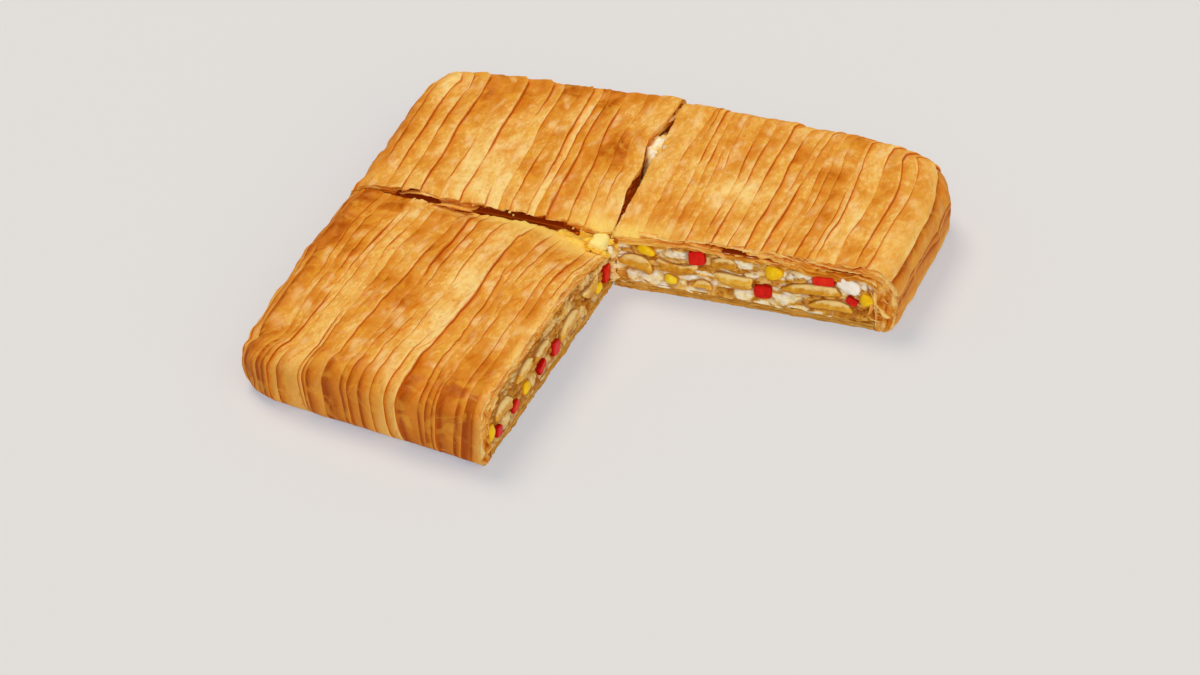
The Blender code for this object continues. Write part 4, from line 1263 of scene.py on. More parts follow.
BACK_RIGHT_CREAM = (
    (0.0310, 0.0222, 0.0110, 0.0052),
    (0.0655, 0.0232, 0.0130, 0.0050),
    (0.0095, 0.0080, 0.0090, 0.0046),
    (0.0185, 0.0078, 0.0120, 0.0048),
    (0.0370, 0.0110, 0.0100, 0.0050),
    (0.0660, 0.0078, 0.0120, 0.0050),
    (0.0860, 0.0085, 0.0150, 0.0046),
    (0.0950, 0.0228, 0.0120, 0.0044),
    (0.0900, 0.0122, 0.0110, 0.0040),
)
FRONT_LEFT_CREAM = (
    (0.0030, 0.0162, 0.0080, 0.0048),
    (0.0140, 0.0175, 0.0130, 0.0046),
    (0.0320, 0.0212, 0.0150, 0.0058),
    (0.0560, 0.0200, 0.0150, 0.0062),
    (0.0990, 0.0085, 0.0070, 0.0050),
    (0.0370, 0.0080, 0.0100, 0.0046),
    (0.1300, 0.0082, 0.0100, 0.0046),
    (0.0740, 0.0232, 0.0140, 0.0044),
)
BACK_LEFT_CREAM = (
    (0.0600, 0.0200, 0.0110, 0.0060),
    (0.1080, 0.0180, 0.0120, 0.0060),
    (0.0880, 0.0125, 0.0200, 0.0060),
)
CONTENTS = {
    ("back_left", "side"): (BACK_LEFT_PIECES, BACK_LEFT_CREAM),
    ("back_right", "cross"): (BACK_RIGHT_PIECES, BACK_RIGHT_CREAM),
    ("front_left", "side"): (FRONT_LEFT_PIECES, FRONT_LEFT_CREAM),
}

# %% [markdown]
# The sauce between the pieces isn't smooth. It tore where the knife dragged, so it is laid out as
# pillows of uneven size, some whiter and some stained by the mushrooms, with painted shade in the
# seams between them. The pillows come from jittered cells: each place belongs to the nearest
# centre, and the seam runs where two centres are equally far.

# %% Cells and outlines on a cut face
OUTLINE_POWER = {"mushroom": 2.6, "pepper": 4.5, "sweetcorn": 2.6, "cheese": 2.8}


def cells_of(x, y, seed):
    """How far each place is from the seams between jittered cells, and its cell's own draw."""
    table = np.random.default_rng(seed).uniform(0.0, 1.0, (3, NOISE_CELLS, NOISE_CELLS))
    nearest = np.full(x.shape, 9.0)
    second = np.full(x.shape, 9.0)
    pick = np.zeros(x.shape)
    for step_x in (-1, 0, 1):
        for step_y in (-1, 0, 1):
            column = np.floor(x).astype(int) + step_x
            row = np.floor(y).astype(int) + step_y
            drawn = table[:, column % NOISE_CELLS, row % NOISE_CELLS]
            away = np.hypot(column + drawn[0] - x, row + drawn[1] - y)
            closer = away < nearest
            second = np.where(closer, nearest, np.minimum(second, away))
            pick = np.where(closer, drawn[2], pick)
            nearest = np.where(closer, away, nearest)
    return second - nearest, pick


def right_of(quarter, cut):
    """1 where a cut's distances grow to the right, for someone who looks at the cut."""
    return quarter.side_x * quarter.side_y * (1 if cut == "cross" else -1)


def around_piece(quarter, cut, piece, along, z, margin=0.0):
    """0 at a piece's middle and 1 at its outline, at any place on the cut."""
    kind, middle, height, length, thickness, bend, tilt = piece
    turn = math.radians(tilt)
    right = right_of(quarter, cut) * (along - middle)
    up = z - height
    x = right * math.cos(turn) - up * math.sin(turn)
    y = right * math.sin(turn) + up * math.cos(turn)
    place = x / (length / 2 + margin)
    y = y - bend * (1.0 - 2.0 * np.clip(place, -1.0, 1.0) ** 2)
    power = OUTLINE_POWER[kind]
    return (np.abs(place) ** power + np.abs(y / (thickness / 2 + margin)) ** power) ** (1 / power)


# %% [markdown]
# On the two open faces the whole relief shows. In the closed cuts only a pale heap in the side cut
# and the rims at the crossing catch any light, and the rest is painted dark as shade. The front
# left face is painted darker than the others, as shade, and its seams of painted shade are wider,
# so there the grooves carry the picture. Lumps of sauce stand out where they were seen, each ringed
# by painted shade. Each piece of the filling sits in a pocket, with a thin groove of painted shade
# around its outline.

# %% Relief of the sauce
PILLOW = (7.5, 2.3)  # millimetres along the cut and up
SEAM_DEPTH = 1.3
PILLOW_SPREAD = 1.5
LUMP_STAND = 1.1
WIDE_LUMP_STAND = 3.6  # in the open cut between the back quarters
POCKET_DEPTH = 1.0
GROOVE = 0.15
PALE_HEAP = (86.0, 22.0)  # where the sauce in the side cut is seen, and its spread, in millimetres


def sauce_pillows(quarter, cut, x, y, seed):
    """Depth in millimetres, how white the sauce is and its painted shade, before the lumps."""
    sway_x = 1.6 * noise(x / 5.0, y / 5.0, seed)
    sway_y = 1.0 * noise(x / 6.0, y / 4.0, seed + 1)
    seam, pick = cells_of((x + sway_x) / PILLOW[0], (y + sway_y) / PILLOW[1], seed + 2)
    depth = SEAM_DEPTH * (1.0 - smoothstep(0.0, 0.5, seam)) + PILLOW_SPREAD * (pick - 0.35)
    white = 0.24 + 0.66 * smoothstep(0.30, 0.80, pick) + 0.25 * noise(x / 3.4, y / 1.5, seed + 3)
    shaded = smoothstep(-0.4, 0.4, noise(x / 5.0, y / 3.0, seed + 8))
    # Painted shade in the seams.
    dark = (1.0 - smoothstep(0.02, 0.20, seam)) * shaded
    # A closed cut is painted dark as shade, except where light reaches it.
    if (quarter.name, cut) not in OPEN_CUTS:
        shown = bump(x, *PALE_HEAP) if quarter.side_x < 0 and cut == "side" else 0.0 * x
        shown = np.maximum(shown, 0.8 * (1.0 - smoothstep(3.0, 7.0, x)))
        white = white * shown - 0.1 * (1.0 - shown)
        dark = np.maximum(dark * shown, 1.0 - shown)
    # The front left face is painted darker, as shade, with wider grooves of painted shade.
    if quarter is FRONT_LEFT:
        white = 0.62 * white
        uneven = 0.75 + 0.25 * noise(x / 4.0, y / 2.0, seed + 10)
        grooves = (1.0 - smoothstep(0.04, 0.34, seam)) * uneven
        dark = np.maximum(dark, 0.22 + 0.73 * grooves)
    if quarter is BACK_RIGHT and cut == "cross":
        white = white - 0.8 * smoothstep(111.0, 119.0, x) * (1.0 - smoothstep(9.0, 12.0, y))
    return depth, white, dark


def sauce_relief(quarter, cut, along, z):
    """Depth in millimetres, how white the sauce is and its painted shade, on a cut face."""
    x = along / MM
    y = z / MM
    seed = quarter.seed + (300 if cut == "side" else 400)
    depth, white, dark = sauce_pillows(quarter, cut, x, y, seed)
    pieces, lumps = CONTENTS.get((quarter.name, cut), ((), ()))
    wide = quarter.side_opening and cut == "side" and quarter.side_x < 0
    stands = WIDE_LUMP_STAND if wide else LUMP_STAND
    for middle, height, length, thickness in lumps:
        off_x = (along - middle) / (length / 2) + 0.25 * noise(x / 2.6, y / 2.0, seed + 4)
        off_y = (z - height) / (thickness / 2) + 0.35 * noise(x / 2.2, y / 2.6, seed + 5)
        away = np.hypot(off_x, off_y)
        inside = 1.0 - smoothstep(0.75, 1.15, away)
        stand = 0.2 - stands * np.sqrt(np.clip(1.0 - away**2, 0.0, 1.0))
        depth = depth * (1.0 - inside) + (stand + 0.35 * depth) * inside
        # The front left lumps are less white, as painted shade.
        whitest = 0.50 if quarter is FRONT_LEFT else 0.88
        whitest = whitest + 0.2 * noise(x / 2.0, y / 1.3, seed + 9)
        white = np.maximum(white, whitest * inside)
        dark = dark * (1.0 - 0.7 * inside)
        # A ring of painted shade round each lump.
        dark = np.maximum(dark, 0.5 * bump(away, 1.15, 0.16))
    depth = depth + 0.22 * noise(x / 1.3, y / 0.9, seed + 6)
    depth = depth + 0.12 * noise(x / 0.7, y / 0.6, seed + 7)
    for piece in pieces:
        away = around_piece(quarter, cut, piece, along, z)
        ring = 1.0 + 0.22 * MM / (piece[4] / 2)
        pocket = 1.0 - smoothstep(0.98, ring, away)
        depth = depth * (1.0 - pocket) + POCKET_DEPTH * pocket
        depth = depth + GROOVE * bump(away, ring, 0.16)
        # A thin groove of painted shade round each piece.
        dark = np.maximum(dark * (1.0 - pocket), 0.65 * (1.0 - smoothstep(1.0, ring + 0.03, away)))
    if (quarter.name, cut) in OPEN_CUTS:
        dark = np.minimum(dark, 0.95)
    return depth, white, np.clip(dark, 0.0, 1.0)


# %% [markdown]
# The filling and the bottom crust are blocks under the top crust. Only their cut faces show, so
# those get a fine grid, and the hidden sides a coarse one.

# %% Blocks with cut faces
FACE_STEP = 0.55 * MM
BASE_SHEETS = 3.2


def cut_face(sheet, quarter, layer, cut, rows, relief, corner=None):
    """A fine grid over the section of a block. Returns its numbers and places along its rim."""
    shares = np.linspace(0.0, 1.0, round(quarter.reach_y / FACE_STEP)) * EDGE_SHARE
    nothing = 0.0 * shares
    across, down = (nothing, shares) if cut == "side" else (shares, nothing)
    a, b, top = skin_parts(quarter, layer, across, down)
    edge = b if cut == "side" else a
    part = np.linspace(0.0, 1.0, rows)[:, None]
    z = top + (layer.base - top) * part
    along = edge + 0.0 * z
    depth, values = relief(quarter, cut, along, z, part)
    if layer is FILLING:
        low = smoothstep(0.86, 1.0, part)
        z = z - low * (0.9 + 1.1 * noise(along / MM / 4.5, 0.0 * z, quarter.seed + 8)) * MM
        depth = depth * (1.0 - low) - 1.25 * low
    rim = smoothstep(0.0, 0.04, part) * smoothstep(0.0, 3.0 * MM, along)
    rim = rim * smoothstep(0.0, 1.2 * MM, along[:, -1:] - along)
    points = cut_place(quarter, cut, along, depth * rim * MM, z, layer.recess)
    if corner is None:
        numbers = sheet.loose(points, **values) + np.arange(z.size).reshape(z.shape)
    else:
        kept = {name: value[:, 1:] for name, value in values.items()}
        fresh = sheet.loose(points[:, 1:], **kept)
        fresh = fresh + np.arange(z[:, 1:].size).reshape(z[:, 1:].shape)
        numbers = np.hstack([corner[:, None], fresh])
    sheet.join(numbers)
    places = list(shares) + list(EDGE_SHARE + (1.0 - EDGE_SHARE) * part[1:, 0])
    return numbers, places


def cut_block(quarter, layer, rows, relief, name, material, slot, node):
    """A block under the top crust: two fine cut faces sewn to a coarse skin and an underside."""
    sheet = Sheet()
    shares = plain_shares()
    across, down = np.meshgrid(shares, shares, indexing="ij")
    # The unseen skin is painted dark as shade, for where a gap shows it.
    hidden = sheet.grid(skin(quarter, layer, across, down), white=0.0, dark=1.0)
    side, places = cut_face(sheet, quarter, layer, "side", rows, relief)
    cross, cross_places = cut_face(sheet, quarter, layer, "cross", rows, relief, side[:, 0])
    for face, at, edge in ((side, places, hidden[0, :]), (cross, cross_places, hidden[:, 0])):
        rim = list(face[0, :]) + list(face[1:, -1])
        sheet.zip_up(rim, at, edge, shares)
    under = list(side[-1, :]) + list(hidden[1:, -1]) + list(hidden[-1, -2:0:-1])
    under = under + list(cross[-1, :0:-1])
    sheet.faces.append([int(number) for number in under])
    return sheet.finish(name, material, slot, [node])


def filling_relief(quarter, cut, along, z, part):
    """The sauce's relief with its marks. It doesn't change with the share of the face's height."""
    depth, white, dark = sauce_relief(quarter, cut, along, z)
    flow = np.stack([along / MM / 10.0, 0.0 * z, z / MM / 10.0], axis=-1)
    return depth, {"white": white, "dark": dark, "flow": flow}


def base_relief(quarter, cut, along, z, part):
    """The bottom crust's sheet edges, their browning, and painted shade where they part."""
    x = along / MM
    seed = quarter.seed + (500 if cut == "side" else 600)
    layers = BASE_SHEETS * part + 0.5 * noise(x / 16.0, 2.0 * part, seed)
    layers = layers + 0.2 * noise(x / 4.0, 4.0 * part, seed + 1)
    number = np.floor(layers)
    between = np.abs(layers % 1.0 - 0.5) * 2.0
    parted = smoothstep(0.5, 1.0, between)
    depth = 0.55 * parted + 0.35 * noise(x / 2.1, number * 3.1, seed + 2)
    depth = depth + 0.5 * noise(x / 9.0, part * 1.5, seed + 3)
    depth = depth + 0.2 * noise(x / 0.9, part * 5.0, seed + 4)
    # Painted shade where the sheets part.
    dark = parted * smoothstep(-0.4, 0.5, noise(x / 7.0, number, seed + 5))
    white = 0.5 + 0.5 * noise(x / 5.0, number * 1.7, seed + 6)
    flow = np.stack([x / 10.0, 0.0 * z, z / MM / 4.0], axis=-1)
    return depth, {"white": white, "dark": dark, "flow": flow}


# %% [markdown]
# Sauce: white where it lumps, browned to tan where mushroom juice soaked it, and painted dark in
# the seams as shade. Like the pastry it lets light through, so its darkest seams get a faint red
# brown painted glow.
# The bottom crust: tan pastry, softer and paler than the top, a little darker where its thin
# sheets part, which is painted shade.

# %% Finishes of the filling and the bottom crust
def creamy_sauce():
    finish = Finish("creamy_sauce", 0.36, Specular_IOR_Level=0.06)
    flow = finish.mark("flow", 1)
    stains = finish.speckle(flow, 3.2, 4.0, 0.6, 0.4)
    grain = finish.speckle(flow, 14.0, 3.0, 0.7)
    white = finish.mark("white") + (stains - 0.5) * 0.9 + (grain - 0.5) * 0.35
    colour = finish.ramp(
        white,
        (0.0, shade(190, 116, 26)),
        (0.25, shade(226, 162, 56)),
        (0.50, shade(248, 206, 118)),
        (0.75, shade(255, 232, 172)),
        (1.0, shade(255, 247, 222)),
    )
    rosy = finish.remap(finish.speckle(flow, 1.7, 2.0), 0.55, 0.7)
    colour = finish.mix(rosy * 0.35, colour, shade(232, 178, 150))
    # Painted shade in the seams and the closed cuts.
    dark = finish.mark("dark").held()
    colour = finish.mix(dark * 0.88, colour, shade(146, 72, 8))
    finish.set(Base_Color=colour, Roughness=0.32 + grain * 0.2)
    # A faint red brown painted glow where the painted shade is deepest.
    glow_in_shade = finish.remap(finish.mark("dark"), 0.55, 1.0)
    finish.set(Emission_Color=finish.mix(glow_in_shade, shade(0, 0, 0), shade(92, 30, 3)))
    finish.set(Emission_Strength=1.0)
    finish.bumps(grain * 0.5 + stains, 0.3 * MM, 0.5)
    return finish.material


def soft_pastry():
    finish = Finish("soft_pastry", 0.5, Specular_IOR_Level=0.0)
    flow = finish.mark("flow", 1)
    streaks = finish.speckle(finish.stretch(flow, (0.8, 1.0, 5.0)), 2.0, 4.0, 0.6)
    grain = finish.speckle(flow, 12.0, 3.0, 0.7)
    tone = finish.mark("white") * 0.4 + 0.3 + (streaks - 0.5) * 0.9 + (grain - 0.5) * 0.3
    colour = finish.ramp(
        tone,
        (0.0, shade(166, 96, 16)),
        (0.35, shade(204, 138, 46)),
        (0.65, shade(222, 166, 76)),
        (1.0, shade(240, 200, 124)),
    )
    # Painted shade where the sheets part and on the unseen skin.
    colour = finish.mix(finish.mark("dark").held() * 0.7, colour, shade(122, 70, 26))
    finish.set(Base_Color=colour, Roughness=0.42 + grain * 0.2)
    finish.bumps(grain + streaks, 0.3 * MM, 0.5)
    return finish.material


FILLING_ROWS = 44
BASE_ROWS = 14
SAUCE = creamy_sauce()
SOFT_PASTRY = soft_pastry()
for quarter in QUARTERS:
    name = quarter.name
    told = (f"{name}_creamy_filling", SAUCE, "filling", f"{name}_filling")
    cut_block(quarter, FILLING, FILLING_ROWS, filling_relief, *told)
    told = (f"{name}_soft_crust", SOFT_PASTRY, "crust_bottom", f"{name}_crust_bottom")
    cut_block(quarter, BASE, BASE_ROWS, base_relief, *told)

# %% [markdown]
# A piece starts as an outline on the cut: blunt ovals for mushrooms and kernels, worn squares for
# the pepper. Its cut face is domed, flat or hollow after its kind. Behind the outline its side runs
# back into the sauce, and a small cap closes it.

# %% Pieces of the filling
SPOKES = 64
RINGS = (0.06, 0.2, 0.34, 0.48, 0.6, 0.71, 0.8, 0.87, 0.92, 0.96, 0.985, 1.0)
PIECE_PROUD = 0.55
OUTLINE_WAVE = {"mushroom": 0.13, "pepper": 0.05, "sweetcorn": 0.05, "cheese": 0.10}
PIECE_TAPER = {"mushroom": 0.18, "pepper": 0.0, "sweetcorn": -0.25, "cheese": 0.12}
SIDE = ((1.03, 1.2), (1.04, 2.2), (0.98, 3.6), (0.7, 5.0))  # share of the outline, mm behind
FRONT = {  # how far the rim lies behind the middle, how sharply it turns, and unevenness
    "mushroom": (0.75, 7.0, 0.45),
    "pepper": (0.55, 12.0, 0.14),
    "sweetcorn": (1.40, 2.4, 0.10),
    "cheese": (1.10, 3.0, 0.40),
}


def add_piece(sheet, quarter, cut, piece, number):
    """A piece of the filling: rings from its middle to its rim, then its side and a cap."""
    kind, middle, height, length, thickness, bend, tilt = piece
    seed = quarter.seed + 1000 + number
    draw = random.Random(seed)
    turns = np.linspace(0.0, 2 * math.pi, SPOKES, endpoint=False)
    power = OUTLINE_POWER[kind]
    wave = np.zeros(SPOKES)
    for lobes in (2, 3, 5, 8):
        strength = draw.uniform(0.3, 1.0) / lobes**0.7
        wave = wave + strength * np.sin(lobes * turns + draw.uniform(0, 6.3))
    size = 1.0 + OUTLINE_WAVE[kind] * wave
    place = np.sign(np.cos(turns)) * np.abs(np.cos(turns)) ** (2 / power) * size
    rise = np.sign(np.sin(turns)) * np.abs(np.sin(turns)) ** (2 / power) * size
    rise = rise * (1.0 + PIECE_TAPER[kind] * place)
    drop, sharp, rough = FRONT[kind]
    rings = np.array(RINGS)[:, None]
    x = rings * place * length / 2
    y = rings * rise * thickness / 2
    depth = drop * rings**sharp - PIECE_PROUD
    depth = depth + rough * noise(x / MM / 2.6 + 9.0 * number, y / MM / 1.8, seed)
    depth = np.maximum(depth, -PIECE_PROUD) + 0.0 * x
    rim = rings**4 + 0.0 * x
    for share, behind in SIDE:
        x = np.vstack([x, share * place * length / 2])
        y = np.vstack([y, share * rise * thickness / 2])
        depth = np.vstack([depth, np.full(SPOKES, behind)])
        rim = np.vstack([rim, np.full(SPOKES, 1.0 + 0.3 * behind)])
    y = y + bend * (1.0 - 2.0 * np.clip(2.0 * x / length, -1.0, 1.0) ** 2)
    turn = math.radians(tilt)
    right = x * math.cos(turn) + y * math.sin(turn)
    up = y * math.cos(turn) - x * math.sin(turn)
    along = middle + right_of(quarter, cut) * right
    points = cut_place(quarter, cut, along, depth * MM, np.maximum(height + up, 0.3 * MM))
    flow = np.stack([x / MM / 5.0 + number, depth / 5.0, y / MM / 5.0], axis=-1)
    tone = draw.random()
    top = up / (thickness / 2)
    numbers = sheet.rings(points, rim=rim, tone=tone, top=top, flow=flow)
    sheet.cap(numbers[0])
    sheet.cap(numbers[-1, ::-1])


# %% [markdown]
# Cooked mushroom is olive gold, with a painted highlight along its upper side and painted shade
# along its lower side, and a thin dark outline where it was browned. Pepper and sweetcorn are wet
# and glossy. The cheese is a soft, off-white chunk.

# %% Finishes of the pieces
def cooked_mushroom():
    finish = Finish("cooked_mushroom", 0.34, Specular_IOR_Level=0.15)
    flow = finish.mark("flow", 1)
    fibres = finish.speckle(finish.stretch(flow, (1.0, 1.0, 4.0)), 2.4, 4.0, 0.6, 0.5)
    clouds = finish.speckle(flow, 1.1, 3.0, 0.6)
    grain = finish.speckle(flow, 9.0, 3.0, 0.7)
    rim = finish.mark("rim")
    tone = finish.mark("tone") * 0.5 + 0.2 + (fibres - 0.5) * 0.7
    tone = tone + (clouds - 0.5) * 0.8 + rim * 0.12
    colour = finish.ramp(
        tone,
        (0.0, shade(176, 104, 8)),
        (0.35, shade(224, 154, 30)),
        (0.65, shade(240, 182, 58)),
        (1.0, shade(252, 214, 118)),
    )
    # A painted highlight along the upper side.
    pale = finish.remap(finish.mark("top") + (clouds - 0.5) * 2.0, 0.15, 0.75)
    colour = finish.mix(pale * 0.75, colour, shade(255, 226, 150))
    # Painted shade along the lower side.
    low = finish.remap(finish.mark("top") + (fibres - 0.5) * 1.6, -0.35, -0.9)
    colour = finish.mix(low * 0.6, colour, shade(196, 122, 26))
    colour = finish.mix(finish.remap(rim, 1.0, 1.4) * 0.7, colour, shade(166, 92, 16))
    finish.set(Base_Color=colour, Roughness=0.28 + grain * 0.2)
    finish.bumps(fibres + grain * 0.5, 0.25 * MM, 0.5)
    return finish.material


def wet_piece(name, dark, middle, bright, edge):
    """A glossy piece: its dark, middle and bright tones, and the colour toward its edge."""
    finish = Finish(name, 0.3, Specular_IOR_Level=0.1, Coat_Weight=0.08, Coat_Roughness=0.12)
    flow = finish.mark("flow", 1)
    clouds = finish.speckle(flow, 1.6, 3.0, 0.6, 0.4)
    grain = finish.speckle(flow, 8.0, 3.0, 0.7)
    tone = finish.mark("tone") * 0.35 + 0.32 + (clouds - 0.5) * 1.1 + (grain - 0.5) * 0.3
    colour = finish.ramp(tone, (0.0, dark), (0.5, middle), (1.0, bright))
    rim = finish.mark("rim")
    colour = finish.mix(finish.remap(rim, 0.55, 1.3) * 0.75, colour, edge)
    finish.set(Base_Color=colour, Roughness=0.26 + grain * 0.2)
    finish.bumps(clouds + grain * 0.4, 0.25 * MM, 0.4)
    return finish.material


RED = (shade(176, 6, 0), shade(228, 22, 4), shade(246, 60, 20), shade(160, 6, 0))
YELLOW = (shade(236, 164, 0), shade(255, 206, 4), shade(255, 236, 70), shade(224, 144, 0))
OFF_WHITE = (shade(244, 226, 200), shade(255, 246, 230), shade(255, 252, 244), shade(226, 190, 150))
PIECE_FINISHES = {
    "mushroom": cooked_mushroom(),
    "pepper": wet_piece("sweet_pepper", *RED),
    "sweetcorn": wet_piece("sweetcorn", *YELLOW),
    "cheese": wet_piece("soft_cheese", *OFF_WHITE),
}
for quarter in QUARTERS:
    for cut in ("side", "cross"):
        pieces = CONTENTS.get((quarter.name, cut), ((), ()))[0]
        for kind in PIECE_FINISHES:
            own = [piece for piece in pieces if piece[0] == kind]
            if not own:
                continue
            sheet = Sheet()
            for number, piece in enumerate(own):
                add_piece(sheet, quarter, cut, piece, number)
            nodes = [f"{quarter.name}_{kind}_{number + 1}" for number in range(len(own))]
            sheet.finish(f"{quarter.name}_{kind}_pieces", PIECE_FINISHES[kind], kind, nodes)

# %% [markdown]
# One soft yellow block lies on the inner corner, half melted into the butter around it.

# %% The melted cheese
MELTED_LENGTH = 0.0115
MELTED_WIDTH = 0.0085
MELTED_THICKNESS = 0.0065
MELTED_INSET = (0.0044, 0.0038)
MELTED_HEIGHT = 0.0256


def melted_block():
    around = np.linspace(0, 2 * math.pi, 96, endpoint=False)
    turns, tips = np.meshgrid(around, np.linspace(-1, 1, 48) * math.pi / 2 * 0.985)
    power = 0.62  # between a ball, at 1, and a box, at 0
    flat = np.sign(np.cos(tips)) * np.abs(np.cos(tips)) ** power
    x = np.sign(np.cos(turns)) * np.abs(np.cos(turns)) ** power * flat
    y = np.sign(np.sin(turns)) * np.abs(np.sin(turns)) ** power * flat
    z = np.sign(np.sin(tips)) * np.abs(np.sin(tips)) ** power
    uneven = 1.0 + 0.07 * noise(3.0 * x + 5.0, 3.0 * y + 2.0 * z, 5)
    uneven = uneven + 0.03 * noise(8.0 * x, 8.0 * y + 6.0 * z, 6)
    size = np.array([MELTED_WIDTH, MELTED_LENGTH, MELTED_THICKNESS]) / 2
    local = np.stack([x * uneven, y * uneven, z * uneven], axis=-1) * size
    middle = lay_out(FRONT_LEFT, *(np.array(value) for value in (*MELTED_INSET, MELTED_HEIGHT)))
    sheet = Sheet()
    flow = local / MM / 5.0
    numbers = sheet.rings(local + middle, flow=flow, rim=0.2 * (1.0 - z), tone=0.7)
    sheet.cap(numbers[0, ::-1])
    sheet.cap(numbers[-1])
    tones = (shade(255, 214, 96), shade(255, 228, 130), shade(255, 238, 160))
    finish = wet_piece("melted_cheese", *tones, shade(255, 206, 80))
    sheet.finish("melted_cheese_block", finish, "melted_cheese", ["front_left_melted_cheese"])


melted_block()

# %% [markdown]
# Where the knife tore the pastry, thin sheets hang loose. Each is a narrow band between two places
# on a cut face, bowed and curled, which starts inside the crust and sticks out a little. They are
# thin closed bodies, so light and shadow treat them as pastry and not as paper.

# %% Where sheets hang loose
# Start and end on the cut face (along, height), bow, depth inside, reach outside and curl, in mm
FLAKES = {
    ("back_right", "cross"): (
        ((76.0, 31.6), (92.0, 28.6), 0.5, 3.0, 0.7, -0.7),
        ((78.0, 30.2), (91.0, 27.4), 0.4, 3.0, 0.4, -0.5),
        ((80.0, 32.6), (96.0, 30.2), 0.5, 3.0, 0.9, 0.3),
        ((44.0, 32.0), (64.0, 31.4), 0.5, 2.5, 0.7, 0.5),
        ((92.0, 31.4), (126.0, 28.6), 0.7, 3.0, 0.5, 0.2),
        ((12.0, 31.0), (34.0, 30.0), 0.4, 2.5, 0.5, -0.3),
        ((124.0, 29.6), (133.0, 26.6), 1.0, 3.0, 1.2, 1.6),
        ((128.0, 27.4), (135.0, 21.0), 1.3, 3.0, 1.0, -1.6),
        ((132.0, 25.6), (138.5, 17.5), 1.0, 3.0, 1.4, 1.8),
        ((130.0, 19.6), (135.5, 14.0), 0.9, 3.0, 0.9, 1.4),
        ((133.0, 14.6), (139.0, 8.4), -1.0, 3.0, 1.3, -1.5),
        ((129.0, 10.0), (137.0, 6.0), -0.7, 3.0, 1.0, 1.5),
        ((126.0, 6.4), (134.0, 4.4), -0.5, 3.0, 0.8, 1.0),
        ((127.0, 24.6), (132.5, 18.6), 0.8, 3.0, 1.0, 1.0),
        ((126.5, 21.0), (129.5, 11.0), 0.9, 3.0, 1.2, 1.5),
        ((129.5, 15.5), (127.5, 6.5), 0.8, 3.0, 1.0, -1.4),
        ((131.0, 23.0), (134.5, 12.0), -0.9, 3.0, 1.5, -1.8),
    ),
    ("front_left", "side"): (
        ((44.0, 30.6), (72.0, 30.2), 0.5, 3.0, 0.7, -0.4),
        ((70.0, 31.4), (98.0, 30.0), 0.7, 3.0, 0.9, 0.3),
        ((92.0, 29.4), (124.0, 29.6), 0.8, 3.0, 0.6, -0.5),
        ((118.0, 31.0), (144.0, 28.6), 0.7, 3.0, 0.9, 0.4),
        ((138.0, 29.0), (152.0, 21.0), 1.6, 3.0, 0.8, -0.6),
        ((146.0, 26.0), (155.0, 17.0), 1.4, 3.0, 1.0, 0.5),
        ((148.0, 6.6), (155.0, 4.4), 0.6, 3.0, 0.8, 0.4),
    ),
    ("back_left", "side"): (((108.0, 31.2), (126.0, 30.8), 0.8, 3.0, 1.6, -0.8),),
    ("back_left", "cross"): (
        ((86.0, 30.2), (112.0, 30.0), 2.6, 3.0, 1.7, 0.7),
        ((70.0, 29.4), (90.0, 29.0), 0.5, 3.5, 2.4, -0.5),
    ),
    ("front_left", "cross"): (((70.0, 30.0), (92.0, 30.8), 0.5, 2.0, 1.0, -0.4),),
}
print("Loose sheets:", sum(len(flakes) for flakes in FLAKES.values()))

# %% Loose sheets at the cuts
SHEET_HALF = 0.20  # half a loose sheet's thickness, in millimetres


def add_flake(sheet, quarter, cut, flake, number):
    """A thin bowed sheet: five points out on its upper side and five back on its lower one."""
    start, end, bow, inside, outside, curl = flake
    start = np.array(start)
    end = np.array(end)
    length = float(np.hypot(*(end - start)))
    aside = np.array([start[1] - end[1], end[0] - start[0]]) / length
    count = max(12, round(length / 0.6))
    u = np.linspace(0.0, 1.0, count)[:, None]
    out = np.array([0.0, 0.3, 0.6, 0.85, 1.0])
    v = np.concatenate([out, out[::-1]])[None, :]
    half = np.where(np.arange(10) < 5, SHEET_HALF, -SHEET_HALF)[None, :]
    seed = quarter.seed + 2000 + 31 * number
    span = (4.0 * u * (1.0 - u)) ** 0.4
    ragged = 0.45 * noise(u * length / 1.6, 0.0 * u + number, seed)
    ragged = ragged + 0.3 * noise(u * length / 4.5, 0.0 * u, seed + 1)
    reach = (inside + outside) * span + ragged
    wavy = 0.45 * noise(u * length / 6.0 + number, v * 1.3, seed + 2)
    offset = bow * 4.0 * u * (1.0 - u) + curl * v**2 + wavy + half
    along = start[0] + (end[0] - start[0]) * u + aside[0] * offset
    z = start[1] + (end[1] - start[1]) * u + aside[1] * offset
    depth = inside - reach * v + 0.0 * offset
    points = cut_place(quarter, cut, along * MM, depth * MM, z * MM)
    points[..., 2] = np.clip(points[..., 2], 0.3 * MM, CRUST_CEILING)
    # Painted shade where the sheet starts inside the crust, a painted highlight toward its free
    # end.
    baked = 0.36 + 0.36 * noise(u * length / 5.0, v, seed + 3) - 0.16 * v
    flow = np.stack([along / 10.0, depth / 5.0, z / 10.0], axis=-1)
    crease = 0.5 * (1.0 - v) + 0.0 * offset
    ridge = 0.4 * v + 0.0 * offset
    # A painted glow, as on the cut edges.
    marks = {"baked": baked, "crease": crease, "ridge": ridge, "seep": 0.3, "flow": flow}
    numbers = sheet.rings(points, **marks)
    sheet.cap(numbers[0])
    sheet.cap(numbers[-1, ::-1])


for quarter in QUARTERS:
    sheet = Sheet()
    for cut in ("side", "cross"):
        for number, flake in enumerate(FLAKES.get((quarter.name, cut), ())):
            add_flake(sheet, quarter, cut, flake, number + (40 if cut == "side" else 0))
    sheet.finish(f"{quarter.name}_loose_sheets", PASTRY, "crust")

